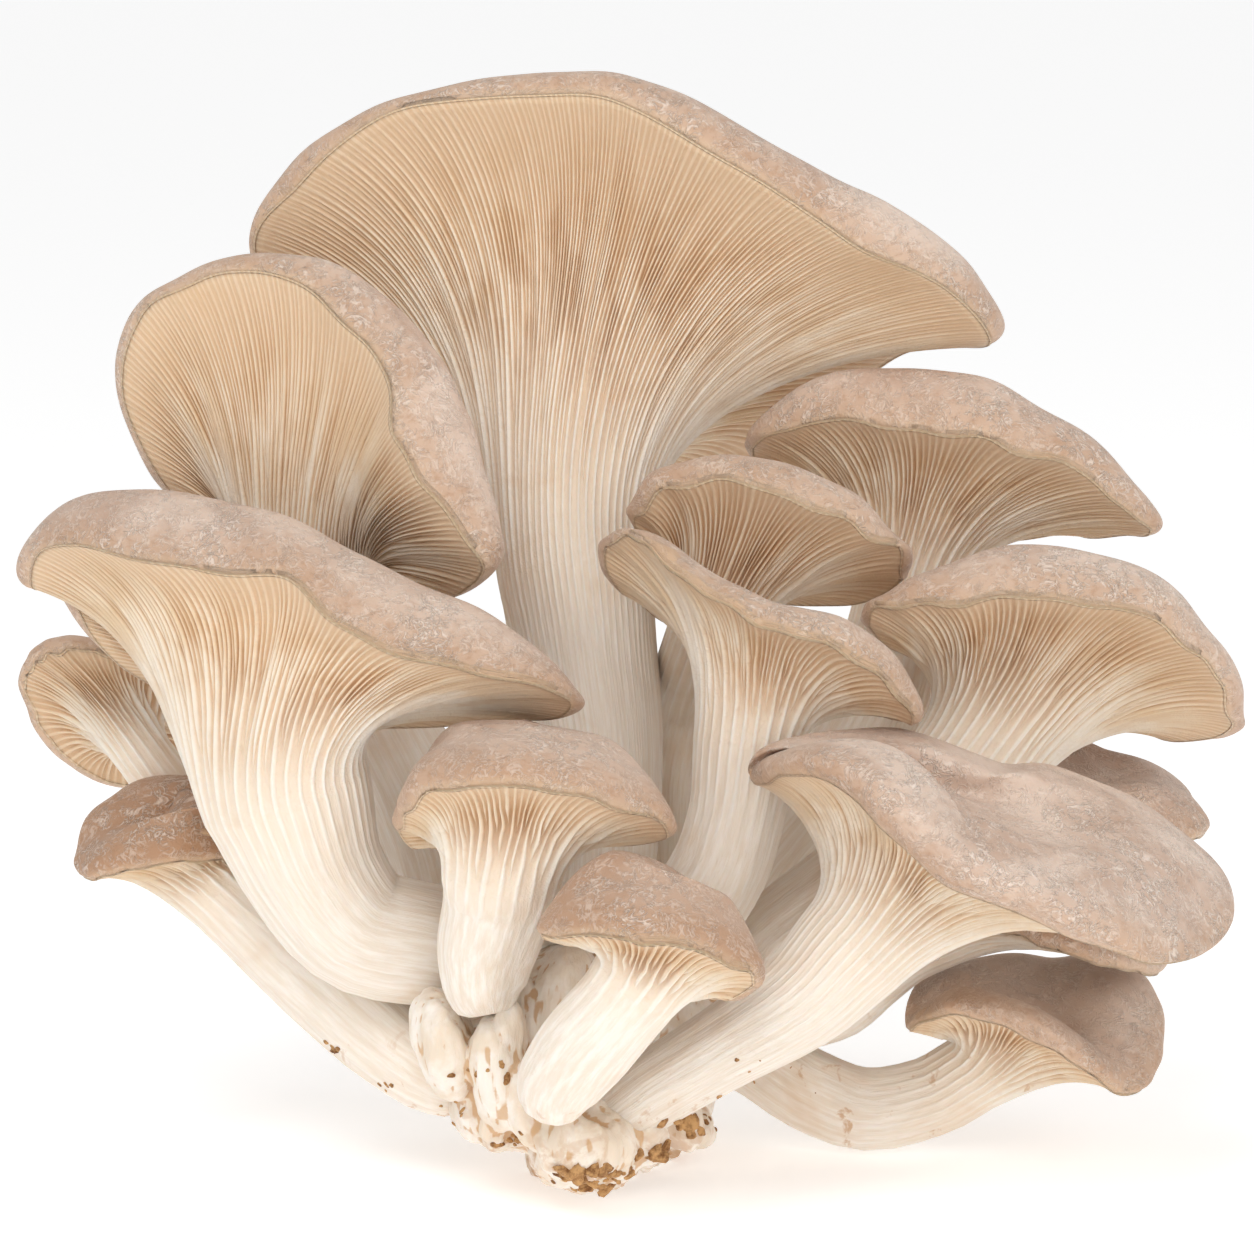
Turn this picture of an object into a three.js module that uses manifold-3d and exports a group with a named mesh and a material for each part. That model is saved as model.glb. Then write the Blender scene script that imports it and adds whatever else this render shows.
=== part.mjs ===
// A cluster of fifteen oyster mushrooms grown from one base, as it was broken off whole and stood on a table.
// Millimetres, +Z up, the viewer in front at -Y, the origin on the table under the middle of the cluster.
// Every mushroom has two solids: the brown cap, and the cream stem with the gills that run down it.
import * as THREE from "three";
import { mergeVertices } from "three/addons/utils/BufferGeometryUtils.js";
import Module from "manifold-3d";

const wasm = await Module();
wasm.setup();

// Where the viewer stands. Points are given as [across, up, near]: the first two are measured in the plane
// that faces the viewer, and near is how far the point lies from that plane towards the viewer.
const VIEW_TILT = THREE.MathUtils.degToRad(8);
const VIEW_DISTANCE = 900;
const EYE_LEVEL = 84.8;

// Sizes that all mushrooms share.
const GAP = 0.3; // between two solids that touch
const GILL_LAYER = 2.4; // thickness of the flesh that carries the gills
const EDGE_LAYER = 0.9; // the same, at its edge
const GILL_RELIEF = 0.8; // how far a gill stands out of the valley beside it, halved
// Each step is its way to the margin and its share of the relief.
const GILL_STEPS = [[0, 0.4], [0.22, 0.8], [0.52, 1], [0.84, 0.7]];
const INNER_SHARES = [0.3, 0.68, 1]; // where the layer's back is measured, from the margin to over the stem
const EDGE_INSET = 0.7; // how far inside the cap's margin the gills end
const MARGIN_FLESH = 2; // thickness of the cap over the gill layer, near the margin
const LIP_RISE = 2; // how far the brow stands over the rim at least, measured towards the flesh
const LIP_BULGE = 0.2; // how far the lip bulges between rim and brow, as a share of its width
const STEM_SIDES = 12;
const HEART_SHARE = 0.5; // how far the cap's heart moves from the rim's middle to above the stem
const HEART_AT = 0.38; // where along a gill the cap's upper surface closes over the stem

const CAP_COLOUR = 0xcfb29c;
const STEM_COLOUR = 0xefe2d2;
const BASE_COLOUR = 0xe6d6c2;

// stem: [across, up, near, radius] from the foot to the neck, where the gills begin.
// rim: the line where the gills meet the brown margin, clockwise as the viewer sees it, from the left end.
// brow: the outermost line of the brown margin, point by point beside the rim.
const MUSHROOMS = [
  {
    name: "tall_back",
    gills: 40,
    gillSteps: [[0, 0.5], [0.18, 0.9], [0.4, 1], [0.62, 1], [0.84, 0.8]],
    flesh: 7,
    stem: [
      [-8, 33, -4, 10.5], [-6, 48, -6, 10.8], [-5, 66, -8, 10.6],
      [-7, 82, -10, 11.6], [-8.5, 94, -10, 12.4],
    ],
    rim: [
      [-59.8, 145.1, -12], [-52.3, 156.3, -4], [-38.7, 166.4, 4], [-20.3, 169.8, 9], [-4.3, 169.8, 12],
      [10.1, 162.2, 14], [26.1, 153.6, 14], [38.1, 144.6, 11], [51.7, 138.7, 5], [58.1, 129.9, -8],
      [43.7, 128.1, -30], [22.5, 112.5, -47], [-4.3, 105, -54], [-29.9, 110, -50], [-49.1, 127, -32],
    ],
    brow: [
      [-60.3, 145.8, -15], [-53.9, 159.2, -10], [-40.3, 168, -3], [-20.3, 173.4, 2], [-3.5, 174.4, 5],
      [13.3, 168.3, 6], [32.5, 158.7, 5], [46.1, 151, 0], [57.3, 140.6, -5], [60.3, 133.1, -14],
      [44.5, 131.5, -37], [22.5, 117, -54], [-4.3, 109.5, -61], [-29.9, 114.5, -57], [-50.7, 130.5, -38],
    ],
  },
  {
    name: "upper_left",
    gills: 28,
    flesh: 5,
    stem: [
      [-26.4, 30, -4, 6.8], [-29, 43, -7, 8.4], [-32.6, 56, -8.5, 9],
      [-39.5, 70, -6, 8], [-46.5, 82.7, -2, 8.5],
    ],
    rim: [
      [-73.9, 107.5, -2], [-80.8, 121.9, 2], [-77.9, 134.6, 6], [-68.3, 140.5, 10], [-57.1, 141.4, 14],
      [-46.7, 135.2, 20], [-38.7, 125.1, 27], [-37.3, 114.7, 32], [-30.6, 105.4, 34], [-23.5, 93.8, 30],
      [-31.5, 88.5, 7], [-47.5, 91.5, -17], [-64, 97, -17],
    ],
    brow: [
      [-74.7, 108, -6], [-81.8, 124.3, -4], [-79.5, 133.9, -1], [-69.9, 141.6, 2], [-54.7, 145.1, 6],
      [-40.3, 141, 12], [-29.9, 130.7, 18], [-23.8, 119.5, 22], [-20.3, 106.7, 24], [-19.8, 96.2, 24],
      [-29.9, 91.5, 1], [-47.5, 95, -23], [-65, 100.4, -23],
    ],
  },
  {
    name: "front_left",
    gills: 32,
    flesh: 5,
    stem: [
      [-24, 32, 20, 7.5], [-31.5, 33.9, 22, 9.4], [-42.7, 36.8, 24, 10], [-50, 46, 27, 11],
      [-54.5, 58, 30, 13.4],
    ],
    rim: [
      [-95.5, 91.5, 10], [-93.1, 97.9, 18], [-82.7, 96.3, 28], [-68.3, 93.8, 38], [-54.7, 92.3, 44],
      [-45.1, 84.3, 48], [-33.1, 78.9, 50], [-20.3, 76.6, 48], [-10.7, 74.4, 44], [-10.7, 70.2, 36],
      [-23.5, 69.5, 25], [-39.5, 68.5, 15], [-58.7, 70.5, 11], [-75.5, 75, 11], [-85.1, 82.7, 12],
      [-89.1, 89, 11],
    ],
    brow: [
      [-97.1, 93.1, 5], [-95.8, 100.3, 8], [-85.1, 107.7, 14], [-69.9, 107.7, 20], [-53.9, 103.2, 26],
      [-41.1, 97.1, 31], [-28.3, 90.7, 35], [-16.3, 84.6, 36], [-8.5, 76, 36], [-9.1, 71.7, 28],
      [-22.5, 72.5, 19], [-39, 72.5, 9], [-58, 75, 5], [-76.2, 79, 5], [-86.7, 86.2, 5],
      [-91.5, 91.7, 5],
    ],
  },
  {
    name: "front_centre",
    gills: 22,
    dome: [-17.1, 69.9, 46],
    stem: [
      [-22, 23, 43, 4], [-22.8, 27, 43, 6.2], [-22.5, 33, 43, 7.6], [-20.8, 40, 44, 8.3], [-20, 45, 46, 9.2],
    ],
    rim: [
      [-36, 53, 46], [-34.4, 56.2, 54], [-28.8, 58.7, 61],
      [-20.3, 59.2, 64], [-10.4, 58.1, 64], [-1, 55.7, 60],
      [6.6, 52.3, 53], [4.5, 50.2, 43], [-4.3, 49.8, 36], [-17.1, 49.4, 33], [-29.9, 48.8, 36],
      [-35.5, 50.4, 40],
    ],
    brow: [
      [-36.9, 56.6, 44], [-35.9, 61, 51], [-30.6, 64.8, 57], [-20.3, 66.4, 60], [-8.3, 65.1, 59],
      [2.1, 61.1, 55], [7.7, 54.7, 49], [6.2, 52.6, 40], [-4.3, 57.1, 34], [-17.9, 58.7, 31],
      [-31, 57.1, 35], [-36, 54.9, 39],
    ],
  },
  {
    name: "front_small",
    gills: 22,
    dome: [2.9, 47, 57],
    stem: [
      [-12.2, 8.6, 48, 4.8], [-10.8, 12.3, 52, 6.4], [-6.7, 17.9, 56, 7.2],
      [-1.1, 24.3, 60, 6.8], [1.4, 27.5, 61, 7.2],
    ],
    rim: [
      [-13.6, 35.3, 62], [-6.6, 35.2, 69], [1.1, 34.5, 73], [9.8, 33, 73], [17.2, 30.5, 69], [20.3, 27.5, 63],
      [14.6, 24.9, 57], [10.3, 27.7, 52], [2.1, 31.5, 50], [-5.6, 33.6, 52], [-11.2, 34.4, 56],
    ],
    brow: [
      [-14, 38.2, 60], [-9.1, 41.9, 65], [0.5, 43.3, 68], [10.9, 41.7, 67], [18.6, 37.1, 64],
      [22.6, 29.9, 59], [18.4, 25.7, 54], [12.5, 30.7, 48], [2.1, 36.3, 46], [-6.6, 38.4, 48],
      [-12, 38.2, 54],
    ],
  },
  {
    name: "front_right",
    gills: 32,
    flesh: 5.5,
    tightEdge: true,
    dome: [53.3, 57.5, 42],
    stem: [
      [-6.5, 2.6, 32, 4.8], [3.7, 10.3, 37, 5.8], [14.9, 17.1, 38, 6.4],
      [27.7, 25.1, 38, 7.8], [36, 33.5, 38, 9],
    ],
    rim: [
      [20.3, 61, 41], [28.7, 63.4, 36.5], [40.5, 64.4, 28], [55.7, 58.7, 26], [66.1, 58.7, 22],
      [80.5, 51.5, 19], [93.3, 41.1, 26], [94.1, 33.9, 38], [84.5, 30.6, 52], [74.1, 34.4, 58],
      [61.3, 38.9, 60], [50.1, 44.3, 62], [40.5, 52.6, 62], [33.3, 59.5, 58], [25.3, 61.1, 52],
      [21.9, 59.5, 44],
    ],
    brow: [
      [19.7, 62, 37], [28.3, 64.7, 31.5], [41.3, 66.6, 23], [56.5, 60.6, 21], [66.9, 61.4, 18],
      [82.1, 53, 15], [94.6, 40.2, 20], [94.8, 35.9, 34], [86.9, 31.2, 50], [74.9, 37.1, 62],
      [62.1, 41.9, 66], [51.7, 47.5, 68], [42.9, 55.5, 67], [35.7, 62.2, 62], [26.1, 64.8, 54],
      [20.8, 61.9, 44],
    ],
  },
  {
    name: "centre",
    gills: 26,
    flesh: 4,
    stem: [
      [6, 34, 18, 7.2], [11, 40, 20, 7.6], [15.2, 47, 22, 7.6],
      [17.8, 56, 24, 7.5], [19.4, 66.7, 26, 8.4],
    ],
    rim: [
      [-3.7, 95.5, 20], [-0.3, 99.8, 28], [4.5, 96.2, 34], [12.5, 89.6, 40], [22.1, 85, 44], [31.7, 81.6, 45],
      [41.3, 75.8, 42], [46.1, 69.4, 34], [40.5, 70.5, 17], [27.7, 73.5, 12], [14.9, 79.5, 11],
      [5.3, 86, 12], [-1.1, 90.7, 15],
    ],
    brow: [
      [-4.3, 96.6, 16], [-0.8, 100.8, 22], [6.1, 99.5, 28], [15.7, 93.1, 33], [25.3, 89.6, 37],
      [34.9, 87.2, 38], [44.5, 80.3, 36], [47.4, 72, 30], [41.3, 73.5, 12], [28.5, 77, 7],
      [15.7, 83.3, 6.5], [5.6, 89.5, 7], [-1.9, 93.1, 10],
    ],
  },
  {
    name: "centre_upper",
    gills: 22,
    flesh: 4,
    stem: [
      [6.5, 33, -12, 4.4], [6.6, 47, -20, 5.6], [6.8, 61, -22.5, 6.2],
      [9.4, 73.5, -21.5, 6.4], [13, 84.5, -3.2, 6.4],
    ],
    rim: [
      [1.2, 101.9, 12], [6.1, 106.4, 17], [15.7, 108.2, 21], [26.1, 105.1, 24], [35.7, 101.1, 22],
      [43.4, 96.5, 16], [43.4, 91.6, 3], [35.5, 88.2, -4], [22.9, 89, -10], [11.7, 94.5, -7],
      [3.5, 98.5, 5],
    ],
    brow: [
      [0.2, 103.8, 8], [3.7, 111, 10], [15.7, 113.9, 12], [27.7, 112, 14], [39.2, 105.6, 13],
      [45.4, 96.9, 9], [44, 93.8, -1], [35, 91.4, -9], [22.9, 93, -15], [12.5, 98, -12],
      [3.7, 101, 1],
    ],
  },
  {
    name: "right_upper",
    gills: 28,
    flesh: 5,
    stem: [
      [15.8, 32, -18, 6.2], [22.8, 46, -20, 6.8], [33.4, 60, -20.5, 8.4],
      [41.4, 76, -20, 9], [44.5, 89.9, -17, 8],
    ],
    rim: [
      [20.8, 114.2, -8], [29.3, 117.4, -2], [42.1, 116.8, 3], [56.5, 114.4, 6], [70.1, 110.6, 6],
      [78.9, 104.3, 2], [83.7, 99.5, -4], [74.1, 99.4, -18], [59.7, 98.7, -28], [43.7, 100.3, -34],
      [29.3, 105.1, -30], [21.3, 109.9, -19],
    ],
    brow: [
      [19.8, 115.8, -13], [26.9, 124.6, -10], [42.1, 128.3, -7], [58.1, 125.8, -5], [74.1, 116.6, -4],
      [83.7, 106.7, -4], [85, 101.1, -10], [74.9, 102.7, -24], [59.7, 103.5, -34], [43.7, 105.1, -39],
      [28.5, 109.1, -35], [20.5, 113.1, -24],
    ],
  },
  {
    name: "right_middle",
    gills: 28,
    flesh: 5,
    stem: [[19, 29, 6, 6.6], [24, 35.5, 6, 6.8], [35.7, 44, 4, 7.4], [47, 53, 1, 8.6], [54.6, 62.7, 1, 10]],
    rim: [
      [38.6, 86.9, 20], [46.9, 88, 25], [59.7, 89.1, 27], [72.5, 88.6, 27], [83.7, 85.9, 24], [91.7, 80, 19],
      [95.7, 73.9, 12], [96.2, 68, 2], [87.7, 66.6, -9], [75.7, 70.6, -16], [62.9, 74, -15],
      [50.1, 77.5, -7], [40.5, 82.5, 5],
    ],
    brow: [
      [38.2, 87.8, 15], [44.5, 92.9, 18], [59.7, 99, 16], [74.1, 98.6, 14], [86.9, 92.8, 12],
      [95.2, 82.7, 8], [98.9, 73.9, 3], [97.8, 68.6, -5], [88.5, 69.6, -16], [75.7, 73.9, -22],
      [62.1, 78, -21], [49.7, 81.5, -12], [39.7, 85, 1],
    ],
  },
  {
    name: "right_back",
    gills: 16,
    flesh: 3,
    dome: [75, 62.5, -13],
    tightEdge: true,
    stem: [[24, 23.5, -16, 5], [32, 29.5, -24, 5], [44, 34, -29, 5], [58, 38.5, -30, 5], [69, 46.5, -21, 5]],
    rim: [
      [60.5, 55.5, -12], [65.3, 62.7, -24], [77.3, 60.3, -28], [87.7, 57.1, -24], [92.5, 52, -12],
      [86.9, 49.4, 0], [75.7, 47.5, 4], [64.5, 49.1, -2],
    ],
    brow: [
      [60, 57.9, -14], [65.3, 65, -23], [77.3, 62.9, -27], [88.5, 59.2, -24], [92.9, 53.6, -12],
      [87.7, 51.8, 0], [76.5, 50.4, 4], [64.5, 52, -3],
    ],
  },
  {
    name: "right_low",
    gills: 22,
    flesh: 4,
    dome: [64.5, 26, 1],
    stem: [
      [13, 19, -8, 5.6], [21, 15.6, -8, 6.2], [29, 10.8, -6, 6.7], [38.1, 7.7, -4, 6.8], [48.3, 9.6, -1, 6.4],
      [55.5, 13.6, 2, 6.4],
    ],
    rim: [
      [45, 20.3, 6], [49.3, 26.7, -4], [59.7, 29.4, -12], [68.5, 28.3, -16], [77.3, 29.4, -16],
      [83.7, 23.5, -6], [84.5, 15.5, 6], [80.5, 9.8, 14], [71.7, 14.6, 18], [62.1, 20, 20], [51.7, 22.7, 16],
    ],
    brow: [
      [45, 21.9, 2], [48.5, 28.6, -7], [59.7, 31.7, -15], [68.8, 30.1, -19], [78.1, 31.2, -19],
      [85, 24.3, -8], [85.3, 16.3, 4], [81.8, 11, 13], [72.5, 17.9, 21], [62.9, 23.2, 23], [51.7, 25.1, 17],
    ],
  },
  {
    name: "right_inner",
    gills: 16,
    flesh: 2.4,
    stem: [[25, 21, 1, 4.6], [34, 23.8, 0, 4.8], [40, 28, 1, 4.2], [46, 31.6, 4, 3.4], [52.5, 34.4, 3, 3.4]],
    rim: [
      [56.5, 37, 2], [62, 40.4, -6], [71.5, 40.6, -12], [81.6, 36.8, -13], [85.2, 29.6, -5],
      [80.5, 29.6, 7], [72.5, 31.6, 14], [63.4, 34.9, 11],
    ],
    brow: [
      [56, 38.8, 1], [61.6, 42.8, -8], [71.6, 43.2, -14], [82.4, 39.2, -15], [86.4, 31.9, -5], [81, 32, 8],
      [72.5, 34.2, 15.5], [63, 37.3, 12.5],
    ],
  },
  {
    name: "left_far",
    gills: 18,
    flesh: 3,
    stem: [
      [-20, 18, -13, 5], [-36, 26, -18, 5.2], [-53, 38, -17, 5.2], [-66, 49, -12, 5], [-72, 57, -8, 4.8],
      [-77, 64, -8, 4.6],
    ],
    rim: [
      [-96.3, 74.5, -14], [-94.9, 78.6, -12], [-91.3, 80.7, -11], [-84.6, 80.8, -11], [-77.5, 79, -13],
      [-68, 74.5, -18], [-68, 66, -25], [-78, 59.5, -25], [-86.5, 61.5, -20], [-92.5, 67, -16],
    ],
    brow: [
      [-97.2, 76, -17], [-95, 82, -16], [-91.3, 84.4, -16], [-84.6, 84, -17], [-77, 82.4, -19],
      [-66.3, 76.8, -23], [-66.5, 66.4, -30], [-77.5, 60, -30], [-87.5, 62, -25], [-93.8, 67.5, -20],
    ],
  },
  {
    name: "left_low",
    gills: 18,
    flesh: 4,
    tightEdge: true,
    dome: [-71.5, 59, 7],
    stem: [
      [-25, 10.5, 20, 4.6], [-31.5, 13.6, 18, 6.4], [-40.3, 20.2, 14, 7.2],
      [-49.9, 28.7, 10, 7.4], [-59, 37, 8, 6.8],
      [-64, 41.5, 7, 6.4],
    ],
    rim: [
      [-87.2, 46.2, 8], [-83.5, 53.5, 3], [-74.7, 57.5, -1], [-65.1, 57, -1], [-58.4, 53.2, 1],
      [-59.5, 48.2, 9], [-68.3, 47.2, 17], [-77.9, 46.2, 18], [-85.1, 44.3, 14],
    ],
    brow: [
      [-88.2, 48.3, 6], [-84.6, 57.1, 2], [-75.5, 61.2, -1], [-65.1, 60.9, -1], [-57.4, 55.5, 1],
      [-58.6, 50.6, 9], [-68.3, 50.6, 18], [-77.9, 49.8, 20], [-86.7, 46.9, 15],
    ],
  },
];

// The base that all stems grow from: rounded lobes as [across, up, near], radii [x, y, z] and
// a lean in degrees.
// The first one is the butt that stands on the table.
const BASE_LOBES = [
  { at: [-2, 14, -4], radii: [17, 23, 17], lean: 0 },
  { at: [2, 25, 2], radii: [22, 24, 11], lean: 0 },
  { at: [-15, 13, 20], radii: [14, 20, 11.5], lean: 0 },
  { at: [-6, 3.2, 32], radii: [10, 14, 8], lean: -6 },
  { at: [-7, 0.5, 10], radii: [9.5, 9, 6], lean: 0 },
  { at: [-20.5, 13, 39], radii: [4.4, 6, 9.5], lean: -6 },
  { at: [-29, 18.4, 32], radii: [4.9, 10, 9], lean: -16 },
  { at: [-16, 20, 34], radii: [3.4, 4, 8.5], lean: -2 },
  { at: [-9.8, 24.5, 34], radii: [5.4, 5.6, 9.5], lean: 12 },
  { at: [-22, 8, 26], radii: [6.5, 9, 6], lean: -24 },
  { at: [-20.7, 4, 30], radii: [2.6, 6, 2.8], lean: 20 },
  { at: [3.2, 0.6, 24], radii: [2, 6, 2.6], lean: 16 },
  { at: [11.2, 5, 20], radii: [2.6, 7, 3.4], lean: -24 },
];

// The point of the part's frame that the viewer sees at [across, up], near millimetres in front of the plane.
function at([across, up, near]) {
  const shrink = 1 - near / VIEW_DISTANCE;
  const height = EYE_LEVEL + (up - EYE_LEVEL) * shrink;
  return new THREE.Vector3(
    across * shrink,
    height * Math.sin(VIEW_TILT) - near * Math.cos(VIEW_TILT),
    height * Math.cos(VIEW_TILT) + near * Math.sin(VIEW_TILT),
  );
}

// A smooth loop through points, sampled count times at even steps.
function loopThrough(points, count) {
  const curve = new THREE.CatmullRomCurve3(points.map(at), true, "catmullrom", 0.5);
  return Array.from({ length: count }, (_, i) => curve.getPoint(i / count));
}

function middleOf(points) {
  return points.reduce((sum, p) => sum.add(p), new THREE.Vector3()).divideScalar(points.length);
}

// The area vector of a closed loop, whose direction is the loop's normal.
function areaOf(points) {
  const sum = new THREE.Vector3();
  points.forEach((p, i) => sum.add(new THREE.Vector3().crossVectors(p, points[(i + 1) % points.length])));
  return sum;
}

// Two directions square to a tangent, the first one as near to the viewer's side as it can be.
function across(tangent) {
  const first = new THREE.Vector3(0, -1, 0).addScaledVector(tangent, tangent.y).normalize();
  return [first, new THREE.Vector3().crossVectors(tangent, first)];
}

function mix(a, b, share) {
  return a.clone().lerp(b, share);
}

// A solid from rings of points: neighbouring rings are joined, whatever their counts, and both
// ends are closed.
function solidOfRings(rings) {
  const points = rings.flat();
  const starts = [];
  rings.reduce((total, ring) => (starts.push(total), total + ring.length), 0);
  const faces = [];
  for (let r = 0; r + 1 < rings.length; r += 1) {
    const [n, m] = [rings[r].length, rings[r + 1].length];
    let i = 0;
    let j = 0;
    while (i < n || j < m) {
      const [a, b] = [starts[r] + (i % n), starts[r + 1] + (j % m)];
      if (m === 1 || (i < n && (i + 1) * m <= (j + 1) * n && n > 1)) {
        faces.push(a, starts[r] + ((i + 1) % n), b);
        i += 1;
        if (m === 1 && i === n) break;
      } else {
        faces.push(a, starts[r + 1] + ((j + 1) % m), b);
        j += 1;
        if (n === 1 && j === m) break;
      }
    }
  }
  const solid = new wasm.Manifold(
    new wasm.Mesh({
      numProp: 3,
      vertProperties: new Float32Array(points.flatMap((p) => [p.x, p.y, p.z])),
      triVerts: new Uint32Array(faces),
    }),
  );
  if (solid.volume() > 0) return solid;
  for (let f = 0; f < faces.length; f += 3) [faces[f], faces[f + 1]] = [faces[f + 1], faces[f]];
  return new wasm.Manifold(
    new wasm.Mesh({
      numProp: 3,
      vertProperties: new Float32Array(points.flatMap((p) => [p.x, p.y, p.z])),
      triVerts: new Uint32Array(faces),
    }),
  );
}

// The stem's rings from its foot up to, and without, its neck.
function stemRings(stem, spread, turn, grow) {
  const spine = new THREE.CatmullRomCurve3(stem.map(at), false, "catmullrom", 0.5);
  const steps = stem.length;
  const rings = [];
  for (let s = 0; s < steps; s += 1) {
    const along = s / steps;
    const place = along * (stem.length - 1);
    const k = Math.floor(place);
    const radius = THREE.MathUtils.lerp(stem[k][3], stem[k + 1][3], place - k) + grow;
    const [first, second] = across(spine.getTangent(along));
    const centre = spine.getPoint(along);
    rings.push(
      Array.from({ length: STEM_SIDES }, (_, i) => {
        const angle = spread + (turn * 2 * Math.PI * i) / STEM_SIDES;
        return centre
          .clone()
          .addScaledVector(first, radius * Math.cos(angle))
          .addScaledVector(second, radius * Math.sin(angle));
      }),
    );
  }
  return rings;
}

// The smooth lower face of a cap: a function of the place round the rim and the way from the neck to the rim.
function lowerFace(spec, count) {
  const rim = loopThrough(spec.rim, count);
  const neck = at(spec.stem.at(-1));
  const spine = new THREE.CatmullRomCurve3(spec.stem.map(at), false, "catmullrom", 0.5);
  const axis = spine.getTangent(1);
  const middle = middleOf(rim);
  const up = areaOf(rim).normalize();
  if (up.dot(middle.clone().sub(neck)) < 0) up.negate();
  const heart = mix(middle, neck.clone().addScaledVector(up, middle.clone().sub(neck).dot(up)), HEART_SHARE);
  const [first, second] = across(axis);
  const turn = Math.sign(areaOf(rim).dot(axis));
  const round = (i) => (turn * 2 * Math.PI * i) / count;
  const sum = rim.reduce(
    (total, p, i) => {
      const out = p.clone().sub(neck);
      const angle = Math.atan2(out.dot(second), out.dot(first)) - round(i);
      const weight = Math.hypot(out.dot(second), out.dot(first));
      return [total[0] + weight * Math.cos(angle), total[1] + weight * Math.sin(angle)];
    },
    [0, 0],
  );
  const spread = Math.atan2(sum[1], sum[0]);
  const radius = spec.stem.at(-1)[3];
  const [rise, reach] = spec.flare ?? [0.36, 0.42];
  const curves = rim.map((edge, i) => {
    const start = neck
      .clone()
      .addScaledVector(first, radius * Math.cos(spread + round(i)))
      .addScaledVector(second, radius * Math.sin(spread + round(i)));
    const outward = edge.clone().sub(heart).normalize().addScaledVector(up, -(spec.droop ?? 0)).normalize();
    const length = edge.distanceTo(start);
    return {
      outward,
      curve: new THREE.CubicBezierCurve3(
        start,
        start.clone().addScaledVector(axis, rise * length),
        edge.clone().addScaledVector(outward, -reach * length),
        edge,
      ),
    };
  });
  const point = (i, t) => curves[(i + count) % count].curve.getPoint(t);
  const rimNormals = curves.map(({ outward }, i) =>
    new THREE.Vector3().crossVectors(outward, point(i + 1, 1).sub(point(i - 1, 1))),
  );
  const facing = Math.sign(middleOf(rimNormals).dot(up));
  // The direction from the lower face into the cap's flesh.
  const inward = (i, t) => {
    const along = curves[i].curve.getTangent(t);
    const side = point(i + 1, t).sub(point(i - 1, t));
    return new THREE.Vector3().crossVectors(along, side).normalize().multiplyScalar(facing);
  };
  return { rim, up, spread, turn, curves, point, inward };
}

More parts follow.
